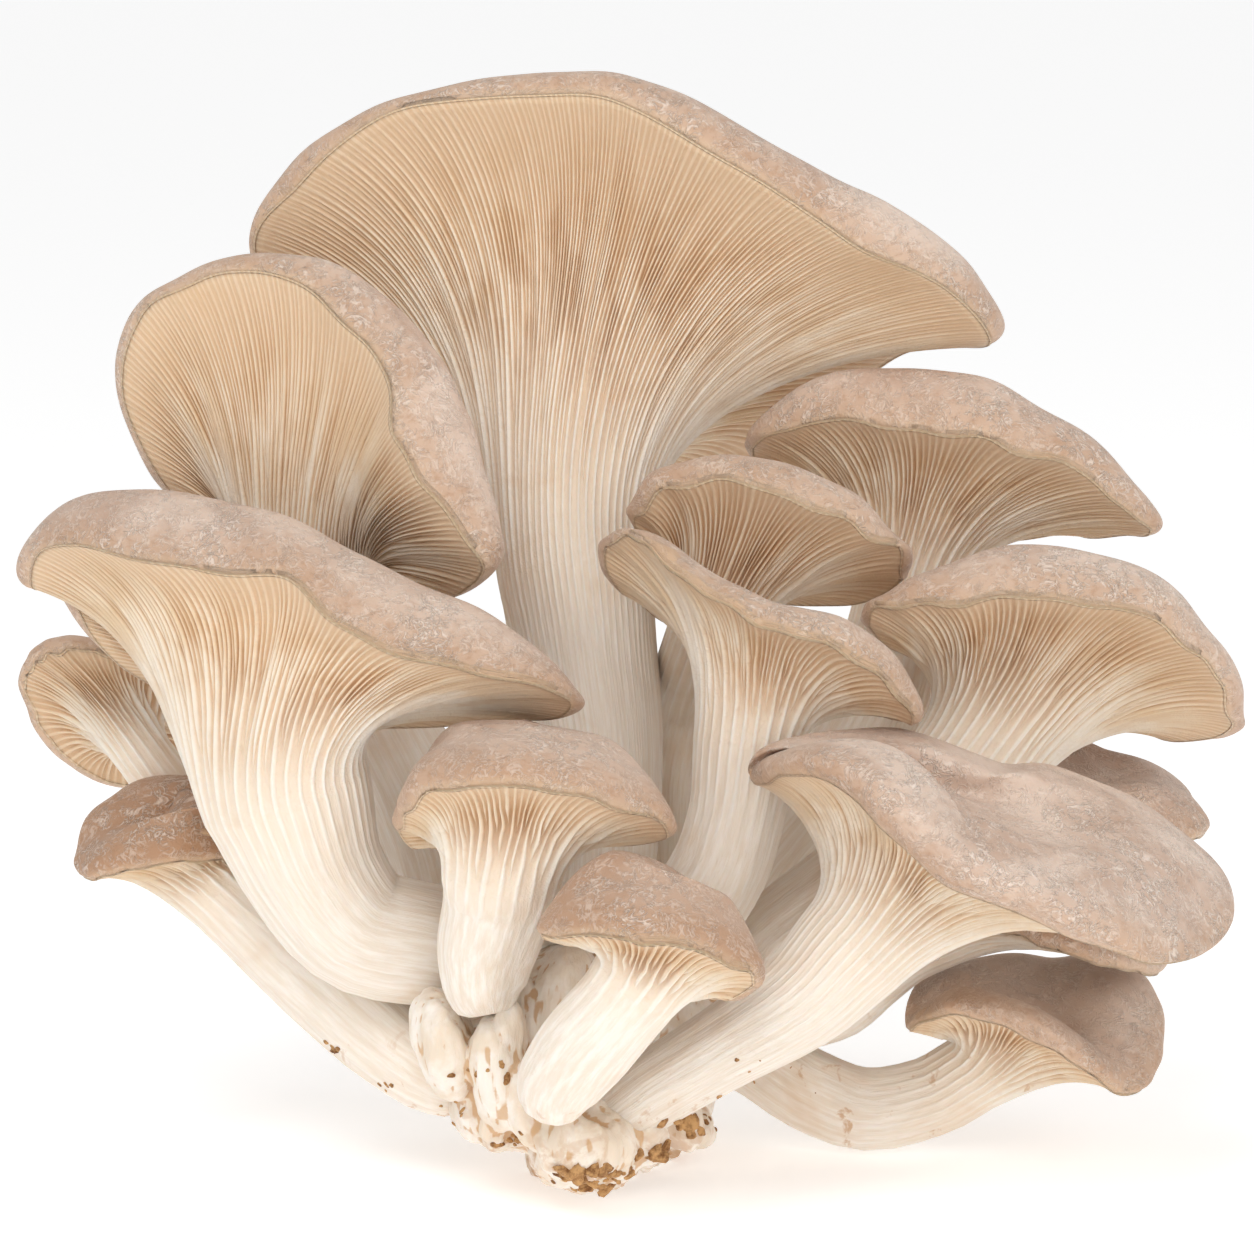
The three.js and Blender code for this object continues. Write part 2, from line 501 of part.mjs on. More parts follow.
// The two solids of one mushroom.
function mushroomSolids(spec) {
  const count = spec.gills;
  const coarse = lowerFace(spec, count);
  const fine = lowerFace(spec, 2 * count);
  const round = Array.from({ length: count }, (_, i) => i);
  const half = round.filter((i) => i % 2 === 0);
  const brow = loopThrough(spec.brow, count).map((p, i) => {
    const inward = coarse.inward(i, 1);
    return p.addScaledVector(inward, Math.max(0, LIP_RISE - p.clone().sub(coarse.rim[i]).dot(inward)));
  });
  const clear = GILL_LAYER + GAP;
  const heartRing = round.map((i) => coarse.point(i, HEART_AT));
  const heart = middleOf(heartRing);
  const arch = heart.clone().addScaledVector(coarse.up, 1.15 * (spec.flesh ?? 5));
  const crown = spec.dome ? at(spec.dome) : arch;
  const depth = Math.max(spec.dome ? crown.clone().sub(heart).dot(coarse.up) : spec.flesh, 2);

  // A surface over the lower face, from the rim at share 0 to over the stem at share 1. Its thickness is
  // measured square to the lower face, and rise is added to it.
  const over = (i, share, thickness, rise = 0) => {
    const t = 1 - share * (1 - HEART_AT);
    const normal = coarse.inward(i, t);
    const out = mix(normal, coarse.up, Math.min(1, 1.3 * share)).normalize();
    return coarse.point(i, t).addScaledVector(out, thickness / Math.max(0.4, out.dot(normal)) + rise);
  };

  // Stem and gills: up the stem, along the gills to the margin, and back under the cap.
  const gillRings = (spec.gillSteps ?? GILL_STEPS).map(([t, height]) =>
    Array.from({ length: 2 * count }, (_, i) => {
      const side = i % 2 === 0 ? 1 : -1;
      return fine.point(i, t).addScaledVector(fine.inward(i, t), side * height * GILL_RELIEF);
    }),
  );
  const edge = round.map((i) => coarse.rim[i].clone().addScaledVector(coarse.curves[i].outward, -EDGE_INSET));
  const backOfEdge = round.map((i) => edge[i].clone().addScaledVector(coarse.inward(i, 1), EDGE_LAYER));
  const inner = INNER_SHARES.map((share, k) => [share, k === 0 && spec.tightEdge ? round : half]);
  const backOfGills = inner.map(([share, places]) => places.map((i) => over(i, share, GILL_LAYER)));
  const stemGills = solidOfRings([
    [at(spec.stem[0])],
    ...stemRings(spec.stem, coarse.spread, coarse.turn, 0),
    ...gillRings,
    edge,
    backOfEdge,
    ...backOfGills,
    [middleOf(backOfGills.at(-1))],
  ]);

  // Cap: from its crown over the top to the margin, round the lip and back over the gill layer.
  const shift = round.map((i) => brow[i].clone().sub(over(i, 0, clear, MARGIN_FLESH)));
  const topRing = (share, places) =>
    places.map((i) => {
      const swell = spec.dome ? 1 - (1 - share) ** 2 : share;
      const hold = (1 - Math.min(1, share / 0.8)) ** 2;
      const rise = MARGIN_FLESH + (Math.max(depth - clear, MARGIN_FLESH) - MARGIN_FLESH) * swell;
      const place = spec.dome ? over(i, share, 0, clear + rise) : over(i, share, clear, rise);
      return place.addScaledVector(shift[i], hold);
    });
  const top = [topRing(1, half), topRing(0.62, half), topRing(0.3, round)];
  const lip = round.map((i) => {
    const width = brow[i].distanceTo(coarse.rim[i]);
    return mix(coarse.rim[i], brow[i], 0.5).addScaledVector(coarse.curves[i].outward, LIP_BULGE * width);
  });
  const lipInside = round.map((i) =>
    coarse.rim[i]
      .clone()
      .addScaledVector(coarse.curves[i].outward, GAP - EDGE_INSET)
      .addScaledVector(coarse.inward(i, 1), EDGE_LAYER + GAP),
  );
  const under = inner.map(([share, places]) => places.map((i) => over(i, share, clear)));
  const cap = solidOfRings([
    [mix(middleOf(top[0]), crown, spec.dome ? 1 : 0.3)],
    ...top,
    brow,
    lip,
    coarse.rim,
    lipInside,
    ...under,
    [middleOf(under.at(-1))],
  ]);
  return { stemGills, cap };
}

// A three.js geometry as a solid, and back.
function solidOf(geometry) {
  geometry.deleteAttribute("normal");
  geometry.deleteAttribute("uv");
  const merged = mergeVertices(geometry, 1e-4);
  return new wasm.Manifold(
    new wasm.Mesh({
      numProp: 3,
      vertProperties: new Float32Array(merged.attributes.position.array),
      triVerts: new Uint32Array(merged.index.array),
    }),
  );
}

function geometryOf(solid) {
  const mesh = solid.getMesh();
  return new THREE.BufferGeometry()
    .setAttribute("position", new THREE.BufferAttribute(new Float32Array(mesh.vertProperties), 3))
    .setIndex(new THREE.BufferAttribute(new Uint32Array(mesh.triVerts), 1));
}

function namedMesh(name, solid, colour, roughness) {
  const geometry = geometryOf(solid);
  geometry.computeVertexNormals();
  const material = new THREE.MeshStandardMaterial({ color: colour, roughness, metalness: 0 });
  const mesh = new THREE.Mesh(geometry, material);
  mesh.name = name;
  return mesh;
}

// The base: its lobes joined, cut flat where it stands on the table, with a socket round every stem.
function baseSolid() {
  const lobes = BASE_LOBES.map(({ at: place, radii, lean }) => {
    const lobe = radii[1] > 12 ? new THREE.SphereGeometry(1, 10, 7) : new THREE.SphereGeometry(1, 7, 5);
    lobe.rotateX(Math.PI / 2);
    lobe.scale(...radii);
    lobe.rotateY(THREE.MathUtils.degToRad(lean));
    lobe.translate(...at(place).toArray());
    return solidOf(lobe);
  });
  const joined = lobes.reduce((sum, lobe) => sum.add(lobe));
  const table = new THREE.BoxGeometry(400, 400, 100);
  table.translate(0, 0, -50);
  return joined.subtract(solidOf(table));
}

const cluster = new THREE.Group();
let base = baseSolid();
for (const spec of MUSHROOMS) {
  const { stemGills, cap } = mushroomSolids(spec);
  const face = lowerFace(spec, spec.gills);
  const rings = stemRings(spec.stem, face.spread, face.turn, GAP / Math.cos(Math.PI / STEM_SIDES));
  const below = at(spec.stem[0]).sub(at(spec.stem[1])).setLength(GAP).add(at(spec.stem[0]));
  rings[0].forEach((p) => p.add(below).sub(at(spec.stem[0])));
  base = base.subtract(solidOfRings([[middleOf(rings[0])], ...rings, [middleOf(rings.at(-1))]]));
  // Slivers that a socket cuts loose are left out.
  base = base.decompose().toSorted((a, b) => b.volume() - a.volume())[0];
  cluster.add(namedMesh(`${spec.name}_stem_gills`, stemGills, STEM_COLOUR, 0.6));
  cluster.add(namedMesh(`${spec.name}_cap`, cap, CAP_COLOUR, 0.7));
}
cluster.add(namedMesh("base", base, BASE_COLOUR, 0.75));

export default cluster;
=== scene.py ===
# The looks of a cluster of fifteen oyster mushrooms: wavy felted caps, fine gills that run down the stems,
# and a knobbly base with brown crumbs on it. Metres in Blender, millimetres in the tables here.
import math
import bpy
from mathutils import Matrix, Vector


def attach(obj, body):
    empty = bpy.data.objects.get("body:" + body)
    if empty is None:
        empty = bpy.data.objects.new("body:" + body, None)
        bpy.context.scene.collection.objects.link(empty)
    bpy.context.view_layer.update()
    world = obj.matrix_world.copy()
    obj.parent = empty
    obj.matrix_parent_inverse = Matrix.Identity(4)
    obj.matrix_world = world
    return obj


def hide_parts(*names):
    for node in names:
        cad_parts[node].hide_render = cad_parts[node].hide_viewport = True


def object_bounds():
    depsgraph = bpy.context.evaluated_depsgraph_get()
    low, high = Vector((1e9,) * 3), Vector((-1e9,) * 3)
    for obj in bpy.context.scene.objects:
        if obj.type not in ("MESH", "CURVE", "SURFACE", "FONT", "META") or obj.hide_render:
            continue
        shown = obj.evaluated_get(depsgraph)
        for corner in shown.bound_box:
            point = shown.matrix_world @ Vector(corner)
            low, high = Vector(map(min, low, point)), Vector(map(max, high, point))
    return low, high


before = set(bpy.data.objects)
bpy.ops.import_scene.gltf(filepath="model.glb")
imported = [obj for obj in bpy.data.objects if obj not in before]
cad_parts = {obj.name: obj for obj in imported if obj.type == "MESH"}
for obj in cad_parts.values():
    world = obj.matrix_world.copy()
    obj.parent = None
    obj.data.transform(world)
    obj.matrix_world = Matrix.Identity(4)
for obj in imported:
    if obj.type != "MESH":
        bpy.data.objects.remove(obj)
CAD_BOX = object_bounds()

import zlib

import bmesh
import bpy
import numpy as np
from mathutils import Matrix, Vector, noise
from mathutils.bvhtree import BVHTree

MM = 0.001
BOX_MARGIN = 0.00002  # how far points stay inside the part's box

# Where the viewer stands. Points are given as [across, up, near]: the first two are measured in the plane
# that faces the viewer, and near is how far the point lies from that plane towards the viewer.
VIEW_TILT = math.radians(8)
VIEW_DISTANCE = 900
EYE_LEVEL = 84.8
VIEW_WIDTH = 200.64
SENSOR = 36

# The gills.
GILL_PITCH = 1.3  # from gill to gill at the margin
GILL_SHORT = (0.0, 0.46, 0.2, 0.42)  # how far out each of four gills begins
GILL_PROFILE = ((-0.5, 0.0), (-0.27, 0.1), (-0.08, 0.9), (0.08, 0.9), (0.27, 0.1))  # place, height
# How high the gills are, by the way out to the margin.
GILL_DEPTH = (
    (0, 0.3), (0.08, 0.5), (0.3, 1.0), (0.55, 1.2), (0.78, 0.75), (0.92, 0.3), (0.98, 0.06), (1, 0),
)
GILL_RINGS = 44
GILL_SUNK = 0.42  # the share of a gill's height behind the smooth face
GILL_UNEVEN = (0.55, 1.25)  # how low and how high a gill can be
GILL_SWAY = 0.3  # how far a gill wanders to the sides
GILL_LAYER = 2.4  # thickness of the flesh that carries the gills
STEM_RINGS = 15
STEM_FOLD = 0.13  # height of the fine folds along a stem
STEM_LUMP = 0.022  # height of its broad lumps, as a share of its radius
FOOT_END = 0.8  # how wide the foot ends, as a share of its radius
RIDGES_END = 0.45  # how far up the stem the ridges of the gills reach down
FLARE = (0.36, 0.42)  # how far a gill keeps the stem's direction, and the cap's, as shares of its length

# The caps.
HEART_SHARE = 0.5  # how far the cap's heart moves from the rim's middle to above the stem
HEART_AT = 0.38  # where along a gill the cap's upper surface closes over the stem
MARGIN_FLESH = 2  # thickness of the cap over the gill layer, near the margin
HEM_OVER = 0.35  # how far the skin's edge reaches over the ends of the gills
HEM_LIFT = 0.08  # how far it stands on them
LIP_RISE = 2  # how far the brow stands over the rim at least, measured towards the flesh
LIP_BULGE = 0.2  # how far the lip bulges between rim and brow, as a share of its width
CAP_CLEAR = 2.7  # from the gills to the underside of the cap's skin
CAP_STEP = 0.9  # size of the cap's faces
MARGIN_WAVE = 0.45  # how far the margin waves in and out
RING_STEP = 1.1  # from ring to ring of the cap's top
SWELL = 0.42  # height of the broad waves of the cap's top
RIPPLE = 0.13  # height of the fine ones near the margin
CALM_ROUNDS = 26  # how often the top is smoothed
CALM = 0.7  # how strongly, far from the margin
HIDDEN_STEP = 3.0  # size of the faces that lie hidden in the cap
HIDDEN_WAYS = (0.15, 0.3, 0.5, 0.68, 0.84, 1)  # where their rings lie, from rim to stem
NEAR_RIM = 0.99  # where the direction at the rim is read

# stem: [across, up, near, radius] from the foot to the neck, where the gills begin.
# rim: the line where the gills meet the brown margin, clockwise as the viewer sees it, from the left end.
# brow: the outermost line of the brown margin, point by point beside the rim.
MUSHROOMS = {"tall_back": {
    "flesh": 7,
    "stem": [
        [-8, 33, -4, 10.5], [-6, 48, -6, 10.8], [-5, 66, -8, 10.6], [-7, 82, -10, 11.6],
        [-8.5, 94, -10, 12.4],
    ],
    "rim": [
        [-59.8, 145.1, -12], [-52.3, 156.3, -4], [-38.7, 166.4, 4], [-20.3, 169.8, 9], [-4.3, 169.8, 12],
        [10.1, 162.2, 14], [26.1, 153.6, 14], [38.1, 144.6, 11], [51.7, 138.7, 5], [58.1, 129.9, -8],
        [43.7, 128.1, -30], [22.5, 112.5, -47], [-4.3, 105, -54], [-29.9, 110, -50], [-49.1, 127, -32],
    ],
    "brow": [
        [-60.3, 145.8, -15], [-53.9, 159.2, -10], [-40.3, 168, -3], [-20.3, 173.4, 2], [-3.5, 174.4, 5],
        [13.3, 168.3, 6], [32.5, 158.7, 5], [46.1, 151, 0], [57.3, 140.6, -5], [60.3, 133.1, -14],
        [44.5, 131.5, -37], [22.5, 117, -54], [-4.3, 109.5, -61], [-29.9, 114.5, -57], [-50.7, 130.5, -38],
    ],
}, "upper_left": {
    "stem": [
        [-26.4, 30, -4, 6.8], [-29, 43, -7, 8.4], [-32.6, 56, -8.5, 9], [-39.5, 70, -6, 8],
        [-46.5, 82.7, -2, 8.5],
    ],
    "rim": [
        [-73.9, 107.5, -2], [-80.8, 121.9, 2], [-77.9, 134.6, 6], [-68.3, 140.5, 10], [-57.1, 141.4, 14],
        [-46.7, 135.2, 20], [-38.7, 125.1, 27], [-37.3, 114.7, 32], [-30.6, 105.4, 34], [-23.5, 93.8, 30],
        [-31.5, 88.5, 7], [-47.5, 91.5, -17], [-64, 97, -17],
    ],
    "brow": [
        [-74.7, 108, -6], [-81.8, 124.3, -4], [-79.5, 133.9, -1], [-69.9, 141.6, 2], [-54.7, 145.1, 6],
        [-40.3, 141, 12], [-29.9, 130.7, 18], [-23.8, 119.5, 22], [-20.3, 106.7, 24], [-19.8, 96.2, 24],
        [-29.9, 91.5, 1], [-47.5, 95, -23], [-65, 100.4, -23],
    ],
}, "front_left": {
    "stem": [
        [-24, 32, 20, 7.5], [-31.5, 33.9, 22, 9.4], [-42.7, 36.8, 24, 10], [-50, 46, 27, 11],
        [-54.5, 58, 30, 13.4],
    ],
    "rim": [
        [-95.5, 91.5, 10], [-93.1, 97.9, 18], [-82.7, 96.3, 28], [-68.3, 93.8, 38], [-54.7, 92.3, 44],
        [-45.1, 84.3, 48], [-33.1, 78.9, 50], [-20.3, 76.6, 48], [-10.7, 74.4, 44], [-10.7, 70.2, 36],
        [-23.5, 69.5, 25], [-39.5, 68.5, 15], [-58.7, 70.5, 11], [-75.5, 75, 11], [-85.1, 82.7, 12],
        [-89.1, 89, 11],
    ],
    "brow": [
        [-97.1, 93.1, 5], [-95.8, 100.3, 8], [-85.1, 107.7, 14], [-69.9, 107.7, 20], [-53.9, 103.2, 26],
        [-41.1, 97.1, 31], [-28.3, 90.7, 35], [-16.3, 84.6, 36], [-8.5, 76, 36], [-9.1, 71.7, 28],
        [-22.5, 72.5, 19], [-39, 72.5, 9], [-58, 75, 5], [-76.2, 79, 5], [-86.7, 86.2, 5], [-91.5, 91.7, 5],
    ],
}, "front_centre": {
    "dome": [-17.1, 69.9, 46],
    "stem": [
        [-22, 23, 43, 4], [-22.8, 27, 43, 6.2], [-22.5, 33, 43, 7.6], [-20.8, 40, 44, 8.3],
        [-20, 45, 46, 9.2],
    ],
    "rim": [
        [-36, 53, 46], [-34.4, 56.2, 54], [-28.8, 58.7, 61], [-20.3, 59.2, 64], [-10.4, 58.1, 64],
        [-1, 55.7, 60], [6.6, 52.3, 53], [4.5, 50.2, 43], [-4.3, 49.8, 36], [-17.1, 49.4, 33],
        [-29.9, 48.8, 36], [-35.5, 50.4, 40],
    ],
    "brow": [
        [-36.9, 56.6, 44], [-35.9, 61, 51], [-30.6, 64.8, 57], [-20.3, 66.4, 60], [-8.3, 65.1, 59],
        [2.1, 61.1, 55], [7.7, 54.7, 49], [6.2, 52.6, 40], [-4.3, 57.1, 34], [-17.9, 58.7, 31],
        [-31, 57.1, 35], [-36, 54.9, 39],
    ],
}, "front_small": {
    "dome": [2.9, 47, 57],
    "stem": [
        [-12.2, 8.6, 48, 4.8], [-10.8, 12.3, 52, 6.4], [-6.7, 17.9, 56, 7.2], [-1.1, 24.3, 60, 6.8],
        [1.4, 27.5, 61, 7.2],
    ],
    "rim": [
        [-13.6, 35.3, 62], [-6.6, 35.2, 69], [1.1, 34.5, 73], [9.8, 33, 73], [17.2, 30.5, 69],
        [20.3, 27.5, 63], [14.6, 24.9, 57], [10.3, 27.7, 52], [2.1, 31.5, 50], [-5.6, 33.6, 52],
        [-11.2, 34.4, 56],
    ],
    "brow": [
        [-14, 38.2, 60], [-9.1, 41.9, 65], [0.5, 43.3, 68], [10.9, 41.7, 67], [18.6, 37.1, 64],
        [22.6, 29.9, 59], [18.4, 25.7, 54], [12.5, 30.7, 48], [2.1, 36.3, 46], [-6.6, 38.4, 48],
        [-12, 38.2, 54],
    ],
}, "front_right": {
    "flesh": 5.5,
    "dome": [53.3, 57.5, 42],
    "stem": [
        [-6.5, 2.6, 32, 4.8], [3.7, 10.3, 37, 5.8], [14.9, 17.1, 38, 6.4], [27.7, 25.1, 38, 7.8],
        [36, 33.5, 38, 9],
    ],
    "rim": [
        [20.3, 61, 41], [28.7, 63.4, 36.5], [40.5, 64.4, 28], [55.7, 58.7, 26], [66.1, 58.7, 22],
        [80.5, 51.5, 19], [93.3, 41.1, 26], [94.1, 33.9, 38], [84.5, 30.6, 52], [74.1, 34.4, 58],
        [61.3, 38.9, 60], [50.1, 44.3, 62], [40.5, 52.6, 62], [33.3, 59.5, 58], [25.3, 61.1, 52],
        [21.9, 59.5, 44],
    ],
    "brow": [
        [19.7, 62, 37], [28.3, 64.7, 31.5], [41.3, 66.6, 23], [56.5, 60.6, 21], [66.9, 61.4, 18],
        [82.1, 53, 15], [94.6, 40.2, 20], [94.8, 35.9, 34], [86.9, 31.2, 50], [74.9, 37.1, 62],
        [62.1, 41.9, 66], [51.7, 47.5, 68], [42.9, 55.5, 67], [35.7, 62.2, 62], [26.1, 64.8, 54],
        [20.8, 61.9, 44],
    ],
}, "centre": {
    "flesh": 4,
    "stem": [
        [6, 34, 18, 7.2], [11, 40, 20, 7.6], [15.2, 47, 22, 7.6], [17.8, 56, 24, 7.5], [19.4, 66.7, 26, 8.4],
    ],
    "rim": [
        [-3.7, 95.5, 20], [-0.3, 99.8, 28], [4.5, 96.2, 34], [12.5, 89.6, 40], [22.1, 85, 44],
        [31.7, 81.6, 45], [41.3, 75.8, 42], [46.1, 69.4, 34], [40.5, 70.5, 17], [27.7, 73.5, 12],
        [14.9, 79.5, 11], [5.3, 86, 12], [-1.1, 90.7, 15],
    ],
    "brow": [
        [-4.3, 96.6, 16], [-0.8, 100.8, 22], [6.1, 99.5, 28], [15.7, 93.1, 33], [25.3, 89.6, 37],
        [34.9, 87.2, 38], [44.5, 80.3, 36], [47.4, 72, 30], [41.3, 73.5, 12], [28.5, 77, 7],
        [15.7, 83.3, 6.5], [5.6, 89.5, 7], [-1.9, 93.1, 10],
    ],
}, "centre_upper": {
    "flesh": 4,
    "stem": [
        [6.5, 33, -12, 4.4], [6.6, 47, -20, 5.6], [6.8, 61, -22.5, 6.2], [9.4, 73.5, -21.5, 6.4],
        [13, 84.5, -3.2, 6.4],
    ],
    "rim": [
        [1.2, 101.9, 12], [6.1, 106.4, 17], [15.7, 108.2, 21], [26.1, 105.1, 24], [35.7, 101.1, 22],
        [43.4, 96.5, 16], [43.4, 91.6, 3], [35.5, 88.2, -4], [22.9, 89, -10], [11.7, 94.5, -7],
        [3.5, 98.5, 5],
    ],
    "brow": [
        [0.2, 103.8, 8], [3.7, 111, 10], [15.7, 113.9, 12], [27.7, 112, 14], [39.2, 105.6, 13],
        [45.4, 96.9, 9], [44, 93.8, -1], [35, 91.4, -9], [22.9, 93, -15], [12.5, 98, -12], [3.7, 101, 1],
    ],
}, "right_upper": {
    "stem": [
        [15.8, 32, -18, 6.2], [22.8, 46, -20, 6.8], [33.4, 60, -20.5, 8.4], [41.4, 76, -20, 9],
        [44.5, 89.9, -17, 8],
    ],
    "rim": [
        [20.8, 114.2, -8], [29.3, 117.4, -2], [42.1, 116.8, 3], [56.5, 114.4, 6], [70.1, 110.6, 6],
        [78.9, 104.3, 2], [83.7, 99.5, -4], [74.1, 99.4, -18], [59.7, 98.7, -28], [43.7, 100.3, -34],
        [29.3, 105.1, -30], [21.3, 109.9, -19],
    ],
    "brow": [
        [19.8, 115.8, -13], [26.9, 124.6, -10], [42.1, 128.3, -7], [58.1, 125.8, -5], [74.1, 116.6, -4],
        [83.7, 106.7, -4], [85, 101.1, -10], [74.9, 102.7, -24], [59.7, 103.5, -34], [43.7, 105.1, -39],
        [28.5, 109.1, -35], [20.5, 113.1, -24],
    ],
}, "right_middle": {
    "stem": [
        [19, 29, 6, 6.6], [24, 35.5, 6, 6.8], [35.7, 44, 4, 7.4], [47, 53, 1, 8.6], [54.6, 62.7, 1, 10],
    ],
    "rim": [
        [38.6, 86.9, 20], [46.9, 88, 25], [59.7, 89.1, 27], [72.5, 88.6, 27], [83.7, 85.9, 24],
        [91.7, 80, 19], [95.7, 73.9, 12], [96.2, 68, 2], [87.7, 66.6, -9], [75.7, 70.6, -16], [62.9, 74, -15],
        [50.1, 77.5, -7], [40.5, 82.5, 5],
    ],
    "brow": [
        [38.2, 87.8, 15], [44.5, 92.9, 18], [59.7, 99, 16], [74.1, 98.6, 14], [86.9, 92.8, 12],
        [95.2, 82.7, 8], [98.9, 73.9, 3], [97.8, 68.6, -5], [88.5, 69.6, -16], [75.7, 73.9, -22],
        [62.1, 78, -21], [49.7, 81.5, -12], [39.7, 85, 1],
    ],
}, "right_back": {
    "flesh": 3,
    "dome": [75, 62.5, -13],
    "stem": [
        [24, 23.5, -16, 5], [32, 29.5, -24, 5], [44, 34, -29, 5], [58, 38.5, -30, 5], [69, 46.5, -21, 5],
    ],
    "rim": [
        [60.5, 55.5, -12], [65.3, 62.7, -24], [77.3, 60.3, -28], [87.7, 57.1, -24], [92.5, 52, -12],
        [86.9, 49.4, 0], [75.7, 47.5, 4], [64.5, 49.1, -2],
    ],
    "brow": [
        [60, 57.9, -14], [65.3, 65, -23], [77.3, 62.9, -27], [88.5, 59.2, -24], [92.9, 53.6, -12],
        [87.7, 51.8, 0], [76.5, 50.4, 4], [64.5, 52, -3],
    ],
}, "right_low": {
    "flesh": 4,
    "dome": [64.5, 26, 1],
    "stem": [
        [13, 19, -8, 5.6], [21, 15.6, -8, 6.2], [29, 10.8, -6, 6.7], [38.1, 7.7, -4, 6.8],
        [48.3, 9.6, -1, 6.4], [55.5, 13.6, 2, 6.4],
    ],
    "rim": [
        [45, 20.3, 6], [49.3, 26.7, -4], [59.7, 29.4, -12], [68.5, 28.3, -16], [77.3, 29.4, -16],
        [83.7, 23.5, -6], [84.5, 15.5, 6], [80.5, 9.8, 14], [71.7, 14.6, 18], [62.1, 20, 20],
        [51.7, 22.7, 16],
    ],
    "brow": [
        [45, 21.9, 2], [48.5, 28.6, -7], [59.7, 31.7, -15], [68.8, 30.1, -19], [78.1, 31.2, -19],
        [85, 24.3, -8], [85.3, 16.3, 4], [81.8, 11, 13], [72.5, 17.9, 21], [62.9, 23.2, 23], [51.7, 25.1, 17],
    ],
}, "right_inner": {
    "flesh": 2.4,
    "stem": [
        [25, 21, 1, 4.6], [34, 23.8, 0, 4.8], [40, 28, 1, 4.2], [46, 31.6, 4, 3.4], [52.5, 34.4, 3, 3.4],
    ],
    "rim": [
        [56.5, 37, 2], [62, 40.4, -6], [71.5, 40.6, -12], [81.6, 36.8, -13], [85.2, 29.6, -5],
        [80.5, 29.6, 7], [72.5, 31.6, 14], [63.4, 34.9, 11],
    ],
    "brow": [
        [56, 38.8, 1], [61.6, 42.8, -8], [71.6, 43.2, -14], [82.4, 39.2, -15], [86.4, 31.9, -5], [81, 32, 8],
        [72.5, 34.2, 15.5], [63, 37.3, 12.5],
    ],
}, "left_far": {
    "flesh": 3,
    "stem": [
        [-20, 18, -13, 5], [-36, 26, -18, 5.2], [-53, 38, -17, 5.2], [-66, 49, -12, 5], [-72, 57, -8, 4.8],
        [-77, 64, -8, 4.6],
    ],
    "rim": [
        [-96.3, 74.5, -14], [-94.9, 78.6, -12], [-91.3, 80.7, -11], [-84.6, 80.8, -11], [-77.5, 79, -13],
        [-68, 74.5, -18], [-68, 66, -25], [-78, 59.5, -25], [-86.5, 61.5, -20], [-92.5, 67, -16],
    ],
    "brow": [
        [-97.2, 76, -17], [-95, 82, -16], [-91.3, 84.4, -16], [-84.6, 84, -17], [-77, 82.4, -19],
        [-66.3, 76.8, -23], [-66.5, 66.4, -30], [-77.5, 60, -30], [-87.5, 62, -25], [-93.8, 67.5, -20],
    ],
}, "left_low": {
    "flesh": 4,
    "dome": [-71.5, 59, 7],
    "stem": [
        [-25, 10.5, 20, 4.6], [-31.5, 13.6, 18, 6.4], [-40.3, 20.2, 14, 7.2], [-49.9, 28.7, 10, 7.4],
        [-59, 37, 8, 6.8], [-64, 41.5, 7, 6.4],
    ],
    "rim": [
        [-87.2, 46.2, 8], [-83.5, 53.5, 3], [-74.7, 57.5, -1], [-65.1, 57, -1], [-58.4, 53.2, 1],
        [-59.5, 48.2, 9], [-68.3, 47.2, 17], [-77.9, 46.2, 18], [-85.1, 44.3, 14],
    ],
    "brow": [
        [-88.2, 48.3, 6], [-84.6, 57.1, 2], [-75.5, 61.2, -1], [-65.1, 60.9, -1], [-57.4, 55.5, 1],
        [-58.6, 50.6, 9], [-68.3, 50.6, 18], [-77.9, 49.8, 20], [-86.7, 46.9, 15],
    ],
}}

# The base: place, radii and lean in degrees of its lobes, then of its small knobs and folds.
BASE_LOBES = [
    ([-2, 14, -4], [17, 23, 17], 0),
    ([2, 25, 2], [22, 24, 11], 0),
    ([-15, 13, 20], [14, 20, 11.5], 0),
    ([-6, 3.2, 32], [10, 14, 8], -6),
    ([-7, 0.5, 10], [9.5, 9, 6], 0),
    ([-20.5, 13, 39], [4.4, 6, 9.5], -6),
    ([-29, 18.4, 32], [4.9, 10, 9], -16),
    ([-16, 20, 34], [3.4, 4, 8.5], -2),
    ([-9.8, 24.5, 34], [5.4, 5.6, 9.5], 12),
    ([-22, 8, 26], [6.5, 9, 6], -24),
    ([-20.7, 4, 30], [2.6, 6, 2.8], 20),
    ([3.2, 0.6, 24], [2, 6, 2.6], 16),
    ([11.2, 5, 20], [2.6, 7, 3.4], -24),
    ([-19, 19, 41], [2.4, 3, 7], 6),
    ([-16, 8, 42], [3.4, 3.4, 7], -16),
    ([-11, 9, 44], [2.6, 3, 6.5], 10),
    ([-28, 17, 32], [3.4, 3, 7.5], -14),
    ([-21.5, 4.5, 36], [2.4, 2.6, 2.8], -20),
    ([-8, 1.5, 44], [6.5, 3.4, 5.2], 30),
    ([2, 3, 37], [4.6, 3, 5], 40),
    ([8, 6, 28], [5, 4, 4], 50),
]

# How much browner a cap is than the others, 0 to 1.
TONES = {"left_low": 0.8, "front_small": 0.55, "front_centre": 0.25, "front_left": 0.05}

# Crumbs of the bed, by where the viewer sees them: across, up, spread, size, count.
CRUMBS = [
    (-6, -3.4, 3.2, 1.5, 34),
    (-2, -3, 2, 1.2, 12),
    (3.6, 0.8, 1.2, 1.8, 7),
    (11, 5, 2, 1.6, 14),
    (16, 7.5, 3, 0.8, 9),
    (-18.5, 2.5, 1.6, 1.2, 7),
    (-47, 17.5, 2, 0.8, 8),
    (-39.5, 11.5, 2, 0.7, 6),
    (-30, 7, 3, 0.7, 7),
    (-22, 14, 3, 0.9, 6),
    (24, 13, 5, 0.4, 6),
]

